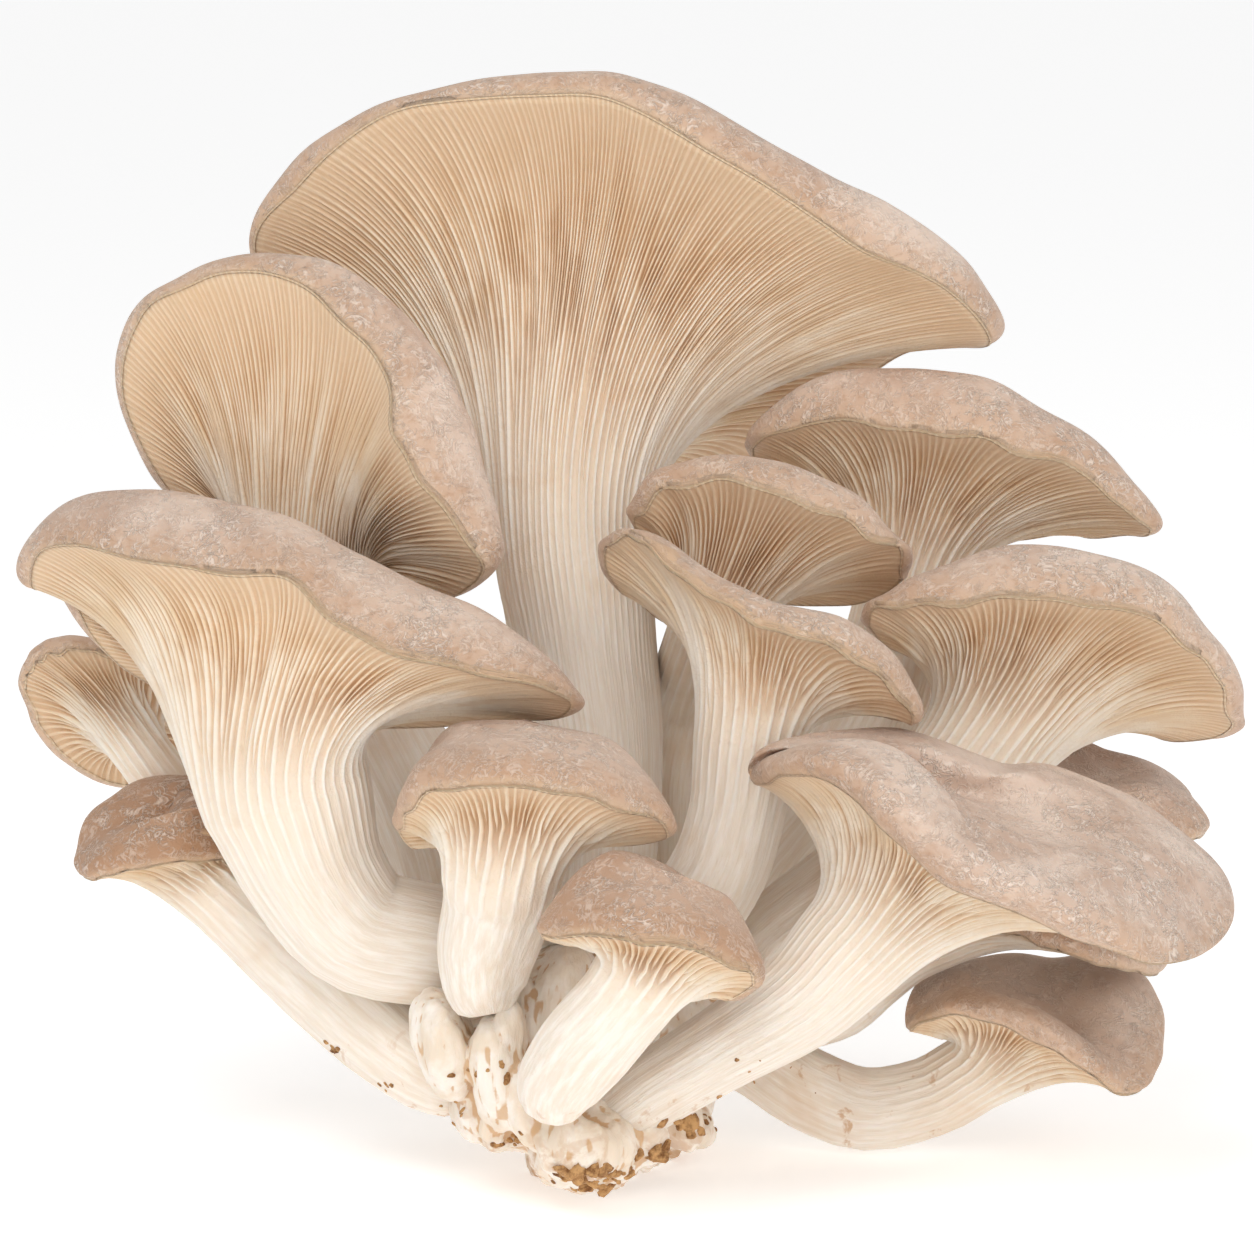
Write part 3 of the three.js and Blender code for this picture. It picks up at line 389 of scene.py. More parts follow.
CRUMB_SIDES = ((0.7, 1.6), (0.5, 0.9), (0.35, 0.6))  # how long, wide and high a crumb can be
BASE_FACE = 0.55  # size of the base's faces
DENT_ROUNDS = 6  # how far creases are looked for, in faces
DENT_SCALE = 3.5  # how sharply they show

# The studio, in metres. Lamps: name, place, size, power, tint.
WHITE = (1, 1, 1, 1)
SKY = 0.6
FLOOR_SIDE = 30  # half the floor's width
FLOOR_COLOUR = (0.93, 0.93, 0.93, 1)
FLOOR_GLOW = 0.38
LAMPS_AIM = (0, 0, 0.07)
LAMPS = (
    ("key_lamp", (-0.3, -0.75, 1.0), 0.6, 4.8, (1, 0.99, 0.975)),
    ("fill_lamp", (0.8, -0.6, 0.6), 0.8, 2.2),
    ("front_panel", (0.15, -1.35, 0.3), 1.2, 3.2),
)


def at(points):
    """The frame's points, in millimetres, for [across, up, near] as the viewer sees them."""
    across, up, near = np.moveaxis(np.asarray(points, float)[..., :3], -1, 0)
    shrink = 1 - near / VIEW_DISTANCE
    height = EYE_LEVEL + (up - EYE_LEVEL) * shrink
    sine, cosine = math.sin(VIEW_TILT), math.cos(VIEW_TILT)
    return np.stack([across * shrink, height * sine - near * cosine, height * cosine + near * sine], -1)


def in_box(points):
    """Points in metres, kept a hair inside the part's box."""
    low, high = np.array(CAD_BOX)
    return np.clip(points, low + BOX_MARGIN, high - BOX_MARGIN)


def unit(vectors):
    """Vectors with length 1."""
    return vectors / np.maximum(np.linalg.norm(vectors, axis=-1, keepdims=True), 1e-9)


def mix(a, b, share):
    return a + (b - a) * share


def smooth_step(low, high, value):
    share = np.clip((value - low) / (high - low), 0, 1)
    return share * share * (3 - 2 * share)


def between(start, leave, end, arrive, f):
    """The point at share f of a smooth curve from start to end, with its slopes there."""
    return (
        start * (2 * f**3 - 3 * f**2 + 1) + leave * (f**3 - 2 * f**2 + f)
        + end * (3 * f**2 - 2 * f**3) + arrive * (f**3 - f**2)
    )


def spline(points, places, closed):
    """A smooth curve through points, at places counted in points from the first one."""
    count = len(points)
    if closed:
        first = np.floor(places).astype(int)
        nearby = [points[(first + k) % count] for k in (-1, 0, 1, 2)]
    else:
        padded = np.concatenate([[2 * points[0] - points[1]], points, [2 * points[-1] - points[-2]]])
        first = np.clip(np.floor(places).astype(int), 0, count - 2)
        nearby = [padded[first + k] for k in (0, 1, 2, 3)]
    before, start, end, after = nearby
    return between(start, (end - before) / 2, end, (after - start) / 2, (places - first)[:, None])


def through_rings(rings, steps):
    """Smooth profiles through rings of points, with steps[k] points from ring k to the next."""
    length = np.maximum(np.linalg.norm(np.diff(rings, axis=0), axis=-1, keepdims=True), 1e-3)
    slope = np.diff(rings, axis=0) / length
    inner = (slope[1:] * length[:-1] + slope[:-1] * length[1:]) / (length[1:] + length[:-1])
    slopes = np.concatenate([slope[:1], inner, slope[-1:]])
    out = []
    for k, count in enumerate(steps):
        for step in range(count):
            leave, arrive = slopes[k] * length[k], slopes[k + 1] * length[k]
            out.append(between(rings[k], leave, rings[k + 1], arrive, step / count))
    out.append(rings[-1])
    return np.array(out)


def area_of(loop):
    """Twice the area that a loop spans, as a vector square to it."""
    return np.cross(loop, np.roll(loop, -1, axis=0)).sum(0)


def waves(rng, lowest, highest, count):
    """A smooth random function of the place round a ring (0 to 1) and of a second way, about -1 to 1."""
    rounds = rng.integers(lowest, highest + 1, count)
    phases = rng.uniform(0, 2 * np.pi, count)
    drifts = rng.normal(0, 2.2, count)

    def value(place, way=0.0):
        total = sum(
            np.sin(2 * np.pi * k * place + phase + drift * way)
            for k, phase, drift in zip(rounds, phases, drifts)
        )
        return total / math.sqrt(count)

    return value


class LowerFace:
    """The smooth lower face of a cap: points by the place round it and the way from neck to rim."""

    SAMPLES = 1024

    def __init__(self, spec, rng):
        self.rng = rng
        places = np.arange(self.SAMPLES) / self.SAMPLES
        rim = spline(at(spec["rim"]), places * len(spec["rim"]), True)
        self.brow_points = at(spec["brow"])
        neck_points = at(spec["stem"])
        neck = neck_points[-1]
        radius = spec["stem"][-1][3]
        ends = spline(neck_points, np.array([len(neck_points) - 1.001, len(neck_points) - 1.0]), False)
        axis = unit(ends[1] - ends[0])
        middle = rim.mean(0)
        area = area_of(rim)
        self.up = unit(area)
        if self.up @ (middle - neck) < 0:
            self.up = -self.up
        heart = mix(middle, neck + self.up * ((middle - neck) @ self.up), HEART_SHARE)
        self.turn = math.copysign(1, area @ axis)
        first, second = across(axis)
        ahead, aside = (rim - neck) @ first, (rim - neck) @ second
        angles = np.arctan2(aside, ahead) - self.turn * 2 * np.pi * places
        weights = np.hypot(aside, ahead)
        self.spread = math.atan2((weights * np.sin(angles)).sum(), (weights * np.cos(angles)).sum())
        outward = unit(rim - heart)
        wave = waves(rng, 5, 17, 7)(places)[:, None] * MARGIN_WAVE
        self.wave = wave * unit(0.6 * outward + 0.8 * self.up)
        rim = rim + self.wave
        turned = self.spread + self.turn * 2 * np.pi * places
        ring = np.cos(turned)[:, None] * first + np.sin(turned)[:, None] * second
        start = neck + radius * ring
        reach = np.linalg.norm(rim - start, axis=-1, keepdims=True)
        self.controls = np.stack(
            [start, start + axis * FLARE[0] * reach, rim - outward * FLARE[1] * reach, rim], 1
        )
        self.outward = outward
        self.rim_length = np.linalg.norm(rim - np.roll(rim, 1, axis=0), axis=-1).sum()
        self.reach = float(np.median(reach))
        self.facing = 1.0
        normals = self.inward(places, 0.995)
        self.facing = math.copysign(1, normals.mean(0) @ self.up)

    def around(self, values, place):
        """Values given round the rim, read at a place from 0 to 1."""
        spot = (place % 1) * self.SAMPLES
        low = np.floor(spot).astype(int) % self.SAMPLES
        share = spot - np.floor(spot)
        share = share.reshape(share.shape + (1,) * (values.ndim - 1))
        return mix(values[low], values[(low + 1) % self.SAMPLES], share)

    def point(self, place, way):
        place, way = np.broadcast_arrays(place, way)
        a, b, c, d = np.moveaxis(self.around(self.controls, place), -2, 0)
        t = way[..., None]
        return a * (1 - t) ** 3 + b * 3 * t * (1 - t) ** 2 + c * 3 * t**2 * (1 - t) + d * t**3

    def inward(self, place, way):
        """The direction from the lower face into the cap's flesh."""
        along = self.point(place, way + 0.005) - self.point(place, way - 0.005)
        side = self.point(place + 0.004, way) - self.point(place - 0.004, way)
        return unit(np.cross(along, side)) * self.facing

    def over(self, place, share, thickness, rise=0.0):
        """Over the lower face, from the rim at share 0 to over the stem at share 1."""
        way = 1 - share * (1 - HEART_AT)
        normal = self.inward(place, way)
        out = unit(mix(normal, self.up, min(1, 1.3 * share)))
        steep = np.maximum(0.4, (out * normal).sum(-1, keepdims=True))
        return self.point(place, way) + out * (thickness / steep + rise)

    def wrapped(self, place):
        """Places round the cap as points of a circle as long as the rim, so that the grain has no seam."""
        angle = 2 * np.pi * place
        return self.rim_length / (2 * np.pi) * np.stack([np.cos(angle), np.sin(angle), 0 * place], -1)


def across(tangent):
    """Two directions square to a tangent, the first one as near to the viewer's side as it can be."""
    first = unit(np.array([0, -1.0, 0]) + tangent * tangent[1])
    return first, np.cross(tangent, first)


def bridge(start_a, count_a, start_b, count_b):
    """Triangles between two rings of any counts."""
    faces = []
    i = j = 0
    while i < count_a or j < count_b:
        a, b = start_a + i % count_a, start_b + j % count_b
        if i < count_a and (i + 1) * count_b <= (j + 1) * count_a or j == count_b:
            faces.append((a, start_a + (i + 1) % count_a, b))
            i += 1
        else:
            faces.append((a, start_b + (j + 1) % count_b, b))
            j += 1
    return faces


def placed(name, data):
    """A new object in the scene."""
    obj = bpy.data.objects.new(name, data)
    bpy.context.scene.collection.objects.link(obj)
    return obj


class Skin:
    """A closed surface gathered ring by ring, with values for the material at every point."""

    # ridge is how high a gill stands at a point; the gills' material paints shade where it is low.
    FLOATS = ("ridge", "way", "fringe", "tone")

    def __init__(self):
        self.points, self.faces, self.total, self.last = [], [], 0, None
        self.values = {name: [] for name in self.FLOATS}
        self.grain = []

    def ring(self, points, grain=(0, 0, 0), **values):
        """One more ring of points, or a single point, joined to the ring before it."""
        points = np.atleast_2d(points)
        count = len(points)
        if self.last:
            start, before = self.last
            i = np.arange(max(before, count))
            j = (i + 1) % len(i)
            if before == count:
                corners = [start + i, start + j, self.total + j, self.total + i]
            elif before == 1:
                corners = [self.total + j, self.total + i, 0 * i + start]
            elif count == 1:
                corners = [start + i, start + j, 0 * i + self.total]
            else:
                corners = np.transpose(bridge(start, before, self.total, count))
            self.faces.append(np.stack(corners, 1))
        self.last = (self.total, count)
        self.total += count
        self.points.append(points)
        self.grain.append(np.broadcast_to(np.asarray(grain, float), (count, 3)))
        for name, kept in self.values.items():
            kept.append(np.broadcast_to(np.asarray(values.get(name, 0.0), float), count))

    def object(self, name):
        """The surface as a Blender object, with its faces outwards."""
        corners = np.concatenate([faces.ravel() for faces in self.faces])
        sizes = np.concatenate([np.full(len(faces), faces.shape[1]) for faces in self.faces])
        mesh = bpy.data.meshes.new(name)
        mesh.vertices.add(self.total)
        mesh.vertices.foreach_set("co", in_box(np.concatenate(self.points) * MM).ravel())
        mesh.loops.add(len(corners))
        mesh.loops.foreach_set("vertex_index", corners.astype(np.int32))
        mesh.polygons.add(len(sizes))
        starts = np.concatenate([[0], np.cumsum(sizes)[:-1]])
        mesh.polygons.foreach_set("loop_start", starts.astype(np.int32))
        mesh.update(calc_edges=True)
        mesh.validate()
        solid = bmesh.new()
        solid.from_mesh(mesh)
        if solid.calc_volume(signed=True) < 0:
            bmesh.ops.reverse_faces(solid, faces=solid.faces)
        solid.to_mesh(mesh)
        solid.free()
        mesh.shade_smooth()
        for key, kept in self.values.items():
            attribute = mesh.attributes.new(key, "FLOAT", "POINT")
            attribute.data.foreach_set("value", np.concatenate(kept).astype(np.float32))
        attribute = mesh.attributes.new("grain", "FLOAT_VECTOR", "POINT")
        attribute.data.foreach_set("vector", np.concatenate(self.grain).astype(np.float32).ravel())
        return placed(name, mesh)


def stem_rings(spec, face, place, lift):
    """Rings of the stem from foot to neck, with folds, and with ridges that fade downwards."""
    points = at(spec["stem"])
    radii = np.array([p[3] for p in spec["stem"]], float)
    count = len(points)
    along = np.arange(STEM_RINGS) / STEM_RINGS
    centre = spline(points, along * (count - 1), False)
    ahead = spline(points, along * (count - 1) + 0.01, False)
    radius = np.interp(along * (count - 1), np.arange(count), radii)
    folds = waves(face.rng, 5, 13, 8)
    lumps = waves(face.rng, 1, 4, 5)
    angle = face.spread + face.turn * 2 * np.pi * place
    rings = []
    for s, t in enumerate(along):
        first, second = across(unit(ahead[s] - centre[s]))
        soft = STEM_FOLD * folds(place, t) + STEM_LUMP * radius[s] * lumps(place, t)
        fade = smooth_step(RIDGES_END, 1, t)
        size = radius[s] + soft * math.sin(math.pi * min(1, 0.08 + t)) ** 0.5 + fade * lift
        if s == 0:
            size = size * FOOT_END
        ring = np.cos(angle)[:, None] * first + np.sin(angle)[:, None] * second
        rings.append(centre[s] + size[:, None] * ring)
    return rings, along


def gill_layout(face, ways):
    """For each way out: the columns' places round the cap, and how high each stands (0 to 1)."""
    rng = face.rng
    slots = 4 * max(8, round(face.rim_length / GILL_PITCH / 4))
    kind = np.arange(slots) % 4
    begin = np.array(GILL_SHORT)[kind] + np.where(kind > 0, rng.normal(0, 0.06, slots), 0)
    grown = smooth_step(begin - 0.02, begin + 0.2, ways[:, None])
    grown[:, kind == 0] = 1
    width = (0.13 + 0.87 * grown) * (1 + rng.uniform(-0.3, 0.3, slots))
    group = width.reshape(len(ways), -1, 4)
    room = rng.uniform(0.9, 1.1, slots // 4)
    size = (group / group.sum(2, keepdims=True) * (room / room.sum())[:, None]).reshape(len(ways), -1)
    ends = np.concatenate([np.zeros((len(ways), 1)), np.cumsum(size, axis=1)], 1)
    drift = (size[:, ::4] / 2).mean(1)
    ends += (drift[-1] - drift)[:, None]
    phase, height = np.array(GILL_PROFILE).T
    place = (ends[:, :-1] + size / 2)[..., None] + size[..., None] * phase
    strength = rng.uniform(*GILL_UNEVEN, slots)
    heights = (grown * strength)[..., None] * height
    place = place.reshape(len(ways), -1)
    sway = waves(rng, 3, 15, 6)
    bends = np.stack([sway(p, 1.4 * t) * 4 * t * (1 - t) for p, t in zip(place, ways)])
    place = place + GILL_SWAY / face.rim_length * bends
    return place, heights.reshape(len(ways), -1)


def hidden_face(skin, face, places, thickness, **values):
    """Closes a piece inside the cap's flesh, from near the rim to over the stem."""
    for share in HIDDEN_WAYS:
        last = face.over(places, share, thickness)
        skin.ring(last, **values)
    skin.ring(last.mean(0), **values)


def gills_object(name, spec, face):
    """The stem and the gills of one mushroom."""
    ways = np.linspace(0, 1, GILL_RINGS) ** 0.9
    place, height = gill_layout(face, ways)
    depth = np.interp(ways, *np.array(GILL_DEPTH).T)[:, None]
    lift = depth * (height - GILL_SUNK)
    points = face.point(place, ways[:, None]) - face.inward(place, ways[:, None]) * lift[..., None]
    grain = face.wrapped(place)

    skin = Skin()
    rings, along = stem_rings(spec, face, place[0], lift[0])
    skin.ring(at(spec["stem"][0]), way=-1)
    for ring, share in zip(rings, along):
        narrow = grain[0] * 0.3 + [0, 0, 4 * share]
        fade = smooth_step(RIDGES_END, 1, share)
        skin.ring(ring, way=share - 1, ridge=mix(0.62, height[0], fade), grain=narrow)
    for k, t in enumerate(ways):
        drift = grain[k] * (0.3 + 0.7 * t) + [0, 0, 4 + 3 * t]
        skin.ring(points[k], way=t, ridge=height[k], grain=drift)
    few = np.arange(0, 1, HIDDEN_STEP / face.rim_length)
    out = face.around(face.outward, few)
    rim = face.point(few, 1.0)
    deep = face.inward(few, NEAR_RIM)
    skin.ring(rim - out * 0.1 + deep * 0.4, way=1)
    skin.ring(rim - out * 0.6 + deep * 0.9, way=1)
    hidden_face(skin, face, few, GILL_LAYER, way=1)
    return skin.object(name + "_gills_and_stem")


def cap_grid(spec, face, place):
    """The cap's skin as rings of points, from over the stem to the hem, and how many lie over the stem."""
    rim = face.point(place, 1.0)
    out = face.around(face.outward, place)
    brow = spline(face.brow_points, place * len(face.brow_points), True) + face.around(face.wave, place)
    deep = face.inward(place, NEAR_RIM)
    brow += deep * np.maximum(LIP_RISE - ((brow - rim) * deep).sum(1, keepdims=True), 0)
    heart = face.point(place, HEART_AT).mean(0)
    flesh = spec.get("flesh", 5)
    dome = "dome" in spec
    crown = at(spec["dome"]) if dome else heart + face.up * 1.15 * flesh
    depth = max((crown - heart) @ face.up if dome else flesh, 2)
    shift = brow - face.over(place, 0, CAP_CLEAR, MARGIN_FLESH)

    def top(share):
        swell = 1 - (1 - share) ** 2 if dome else share
        hold = (1 - min(1, share / 0.8)) ** 2
        rise = MARGIN_FLESH + (max(depth - CAP_CLEAR, MARGIN_FLESH) - MARGIN_FLESH) * swell
        square, upwards = (0, CAP_CLEAR + rise) if dome else (CAP_CLEAR, rise)
        return face.over(place, share, square, upwards) + shift * hold

    width = np.linalg.norm(brow - rim, axis=1, keepdims=True)
    lip = mix(rim, brow, 0.5) + out * LIP_BULGE * width
    hem = rim - out * HEM_OVER - deep * HEM_LIFT
    last = top(1)
    centre = mix(last.mean(0), crown, 1 if dome else 0.3)
    flat = last - centre
    level = (flat @ face.up)[:, None] * face.up
    beyond = centre - (flat - level) + level
    keys = np.stack([beyond, np.broadcast_to(centre, last.shape), last, top(0.62), top(0.3), brow, lip, hem])
    gaps = np.linalg.norm(np.diff(keys, axis=0), axis=-1).mean(1)
    steps = [0] + [max(3, math.ceil(g / RING_STEP)) for g in gaps[1:]]
    return through_rings(keys, steps), steps[1]


def waved(grid, face, place, fringe, share):
    """The cap's rings with broad and fine waves on them, smoothed away from the margin."""
    side = np.roll(grid, -1, axis=1) - np.roll(grid, 1, axis=1)
    normal = unit(np.cross(np.gradient(grid, axis=0), side))
    normal *= math.copysign(1, (normal[len(grid) // 2] @ face.up).mean())
    broad = waves(face.rng, 2, 9, 8)
    fine = waves(face.rng, 9, 26, 8)
    for k in range(len(grid)):
        swell = SWELL * broad(place, share[k] * 2) * np.clip(fringe[k] / 6, 0, 1) * (1 - 0.7 * share[k])
        ripple = RIPPLE * fine(place, share[k]) * smooth_step(0.4, 3, fringe[k])
        ripple *= 1 - smooth_step(0.2, 0.7, share[k])
        grid[k] += normal[k] * (swell + ripple)[:, None]
    for _ in range(CALM_ROUNDS):
        calm = CALM * smooth_step(1, 7, fringe[1:-1])[..., None]
        beside = grid[2:] + grid[:-2] + np.roll(grid, 1, axis=1)[1:-1] + np.roll(grid, -1, axis=1)[1:-1]
        grid[1:-1] = mix(grid[1:-1], beside / 4, calm)
    return grid


def cap_object(name, spec, face, tone):
    """The cap of one mushroom: its top, the rolled margin, and its hidden back over the gills."""
    count = 4 * round(face.rim_length / CAP_STEP / 4)
    place = np.arange(count) / count
    grid, coarse = cap_grid(spec, face, place)
    fringe = np.zeros(grid.shape[:2])
    lengths = np.linalg.norm(np.diff(grid, axis=0), axis=-1)
    fringe[:-1] = np.cumsum(lengths[::-1], axis=0)[::-1]
    share = np.clip(fringe / (0.9 * face.reach), 0, 1)
    grid = waved(grid, face, place, fringe, share)
    circle = face.wrapped(place)

    skin = Skin()
    skin.ring(grid[0].mean(0), fringe=fringe[0].mean(), tone=tone, grain=[0, 0, fringe[0].mean()])
    for k in range(1, len(grid)):
        some = slice(None, None, 4) if k < coarse else slice(None)
        inner = circle[some] * (1 - 0.75 * share[k][some])[:, None]
        inner = inner + np.stack([0 * place, 0 * place, fringe[k] * 0.22], -1)[some]
        skin.ring(grid[k][some], fringe=fringe[k][some], tone=tone, grain=inner)
    few = np.arange(0, 1, HIDDEN_STEP / face.rim_length)
    skin.ring(face.point(few, 1.0) + face.inward(few, NEAR_RIM) * 1.2, tone=tone)
    hidden_face(skin, face, few, CAP_CLEAR - 0.1, tone=tone)
    return skin.object(name + "_felted_cap")


def rgb(red, green, blue):
    """An sRGB colour, 0 to 255, as the linear one that shaders take."""
    parts = []
    for value in (red, green, blue):
        value /= 255
        parts.append(value / 12.92 if value <= 0.04045 else ((value + 0.055) / 1.055) ** 2.4)
    return (*parts, 1)


def set_inputs(node, values):
    for key, value in values.items():
        node.inputs[key].default_value = value


class Shader:
    """A material built node by node. Values given to a node are numbers, colours or other nodes' sockets."""

    def __init__(self, name, rough, shine, fuzz, depth):
        self.material = bpy.data.materials.new(name)
        self.material.use_nodes = True
        self.nodes = self.material.node_tree.nodes
        self.links = self.material.node_tree.links
        self.surface = self.nodes["Principled BSDF"]
        set_inputs(self.surface, {
            "Roughness": rough, "Specular IOR Level": shine,
            "Sheen Weight": fuzz, "Sheen Roughness": 0.6,
            "Subsurface Weight": depth, "Subsurface Scale": 2.2 * MM,
            "Subsurface Radius": (1.0, 0.62, 0.4),
        })

    def node(self, kind, inputs, output=0, **settings):
        made = self.nodes.new("ShaderNode" + kind)
        for key, value in settings.items():
            setattr(made, key, value)
        for key, value in inputs.items():
            if isinstance(value, bpy.types.NodeSocket):
                self.links.new(value, made.inputs[key])
            else:
                made.inputs[key].default_value = value
        return made.outputs[output]

    def value(self, name):
        return self.node("Attribute", {}, "Fac", attribute_name=name)

    def vector(self, name):
        return self.node("Attribute", {}, "Vector", attribute_name=name)

    def place(self):
        return self.node("TexCoord", {}, "Object")

    def noise(self, vector, scale, detail=3.0, rough=0.55, distortion=0.0):
        size = {"Vector": vector, "Scale": scale, "Detail": detail}
        return self.node("TexNoise", {**size, "Roughness": rough, "Distortion": distortion}, "Fac")

    def level(self, vector):
        """How high over the table a point is, in metres."""
        return self.node("SeparateXYZ", {"Vector": vector}, "Z")

    def ramp(self, value, low, high):
        """0 below low and 1 above high, or the other way round where low is the larger."""
        inputs = {"Value": value, "From Min": low, "From Max": high}
        return self.node("MapRange", inputs, interpolation_type="SMOOTHSTEP")

    def maths(self, operation, a, b):
        return self.node("Math", {0: a, 1: b}, operation=operation)

    def times(self, a, b):
        return self.maths("MULTIPLY", a, b)

    def blend(self, share, a, b):
        """The colour a at share 0 and b at share 1."""
        return self.node("Mix", {0: share, 6: a, 7: b}, 2, data_type="RGBA")

    def tint(self, skin, share, most, over):
        """The skin's colour with another over it, by share times most."""
        return self.blend(self.times(share, most), skin, over)

    def finish(self, base, height, distance):
        self.links.new(base, self.surface.inputs["Base Color"])
        bump = self.node("Bump", {"Height": height, "Distance": distance * MM, "Strength": 1.0})
        self.links.new(bump, self.surface.inputs["Normal"])
        return self.material


def gills_material():
    """Cream flesh: tan painted shade between the gills, tan near the margin, nearly white down the stem, with
    fibres.
    """
    s = Shader("cream_gills_and_stem", rough=0.52, shine=0.35, fuzz=0.08, depth=0.22)
    way, ridge, grain, place = s.value("way"), s.value("ridge"), s.vector("grain"), s.place()
    outer = s.ramp(way, 0.05, 0.8)
    sector = s.ramp(s.noise(grain, 0.13, 3.0, 0.6), 0.42, 0.62)
    brown = s.blend(sector, rgb(222, 189, 152), rgb(190, 145, 100))
    # Painted shade: the valleys between the gills are darker and browner than the crests, over the tan
    # patches that both share.
    valley_shade = s.blend(outer, rgb(238, 221, 200), brown)
    valley_shade = s.blend(s.ramp(way, 0.55, 0.97), valley_shade, rgb(217, 184, 149))
    warm = s.blend(sector, rgb(244, 226, 203), rgb(232, 202, 168))
    crest = s.blend(outer, rgb(246, 237, 225), warm)
    crest = s.blend(s.ramp(way, 0.6, 0.98), crest, rgb(229, 201, 170))
    # By each gill's height: the painted shade of its valley at the foot, the cream of its crest at the top.
    gills = s.blend(s.ramp(ridge, 0.0, 0.72), valley_shade, crest)
    fibre = s.noise(grain, 1.5, 4.0, 0.6)
    stem = s.blend(s.ramp(fibre, 0.35, 0.68), rgb(233, 220, 204), rgb(244, 236, 226))
    cream = s.blend(s.ramp(way, -0.5, 0.3), stem, gills)
    cloudy = s.noise(place, 62, 3.0, 0.6, 0.6)
    cream = s.tint(cream, s.ramp(cloudy, 0.5, 0.74), 0.3, rgb(214, 178, 138))
    streaks = s.noise(grain, 0.6, 3.0, 0.6)
    cream = s.tint(cream, s.ramp(streaks, 0.56, 0.8), 0.2, rgb(206, 168, 128))
    low = s.ramp(s.level(place), 0.034, 0.006)
    stains = s.times(s.ramp(s.noise(place, 240, 4.0, 0.65, 0.5), 0.6, 0.7), low)
    cream = s.tint(cream, stains, 0.7, rgb(196, 148, 98))
    fine = s.noise(grain, 5.0, 3.0, 0.6)
    return s.finish(cream, s.maths("ADD", fibre, s.times(fine, 0.5)), 0.22)


def cap_material():
    """Felted brown-grey skin: mottled, with short pale curly fibres and a thin tan line at the margin."""
    s = Shader("felted_cap_skin", rough=0.56, shine=0.35, fuzz=0.12, depth=0.12)
    fringe, tone, grain, place = s.value("fringe"), s.value("tone"), s.vector("grain"), s.place()
    broad = s.ramp(s.noise(place, 58, 3.0, 0.6, 0.4), 0.36, 0.66)
    skin = s.blend(broad, rgb(194, 165, 145), rgb(226, 204, 187))
    small = s.ramp(s.noise(place, 260, 3.0, 0.6, 1.0), 0.35, 0.7)
    skin = s.tint(skin, small, 0.3, rgb(230, 210, 194))
    rays = s.ramp(s.noise(grain, 0.75, 4.0, 0.62), 0.46, 0.7)
    near_margin = s.ramp(fringe, 16, 2)
    skin = s.tint(skin, s.ramp(fringe, 11, 2), 0.6, rgb(196, 158, 126))
    skin = s.tint(skin, rays, s.times(near_margin, 0.5), rgb(176, 135, 103))
    skin = s.blend(tone, skin, rgb(166, 122, 86))

    def hairs(scale, turns, width):
        """Thin curly lines, where a warped noise passes some of its values."""
        field = s.noise(place, scale, 2.0, 0.5, 1.6)
        return s.ramp(s.maths("PINGPONG", s.times(field, turns), 0.5), width, 0.0)

    short = s.ramp(s.noise(place, 480, 2.0, 0.5), 0.38, 0.52)
    patches = s.ramp(s.noise(place, 88, 2.0, 0.5), 0.34, 0.6)
    curls = s.times(s.maths("MAXIMUM", hairs(230, 8, 0.26), hairs(370, 6, 0.24)), short)
    curls = s.times(curls, s.maths("MAXIMUM", patches, 0.55))
    skin = s.blend(0.14, skin, rgb(150, 116, 92))
    skin = s.tint(skin, curls, 0.55, rgb(240, 225, 212))
    skin = s.tint(skin, s.ramp(fringe, 2.6, 0.6), 0.5, rgb(218, 184, 150))
    rim_line = s.times(s.ramp(fringe, 1.1, 0.2), s.ramp(s.noise(grain, 0.5, 3.0), 0.3, 0.6))
    skin = s.tint(skin, rim_line, 0.3, rgb(200, 158, 116))
    felt = s.noise(place, 1500, 3.0, 0.6, 0.8)
    relief = s.maths("ADD", s.times(curls, 0.8), s.times(felt, 0.55))
    relief = s.maths("ADD", relief, s.times(s.times(rays, near_margin), 0.3))
    return s.finish(skin, relief, 0.2)


def base_material():
    """The cream base: tan painted shade in its creases, with fibres, and brown stains where it stood in its
    bed.
    """
    s = Shader("knobbly_base", rough=0.6, shine=0.3, fuzz=0.08, depth=0.2)
    place, dent = s.place(), s.value("ridge")
    cloudy = s.ramp(s.noise(place, 130, 4.0, 0.6, 0.5), 0.35, 0.65)
    cream = s.blend(cloudy, rgb(230, 214, 194), rgb(243, 235, 225))
    # Painted shade: the creases between the lobes, found from the base's own shape, are tinted darker tan.
    crease = s.ramp(s.maths("ADD", dent, s.times(s.noise(place, 300, 3.0), 0.35)), 0.6, 0.3)
    cream = s.tint(cream, crease, 0.75, rgb(206, 162, 112))
    low = s.ramp(s.level(place), 0.022, 0.0)
    stains = s.ramp(s.noise(place, 190, 4.0, 0.65, 0.6), 0.5, 0.64)
    cream = s.tint(cream, s.times(stains, low), 0.8, rgb(190, 142, 92))
    fibre = s.noise(s.node("Mapping", {"Vector": place, "Scale": (1, 1, 0.25)}), 900, 4.0, 0.6)
    return s.finish(cream, fibre, 0.25)


def crumb_material():
    """Crumbs of the bed: rough orange-brown, darker in spots."""
    s = Shader("bed_crumbs", rough=0.8, shine=0.2, fuzz=0.0, depth=0.05)
    place = s.place()
    spots = s.ramp(s.noise(place, 420, 4.0, 0.7), 0.35, 0.62)
    brown = s.blend(spots, rgb(122, 80, 46), rgb(206, 160, 108))
    return s.finish(brown, s.noise(place, 1400, 4.0, 0.7), 0.4)


def ellipsoid(shape, place, radii, lean):
    """One rounded lobe, added to a bmesh."""
    turn = Matrix.Rotation(math.radians(lean), 4, "Y")
    size = Matrix.Diagonal((*radii, 1))
    where = Matrix.Translation(Vector(at(place)))
    bmesh.ops.create_icosphere(shape, subdivisions=3, radius=1, matrix=where @ turn @ size)


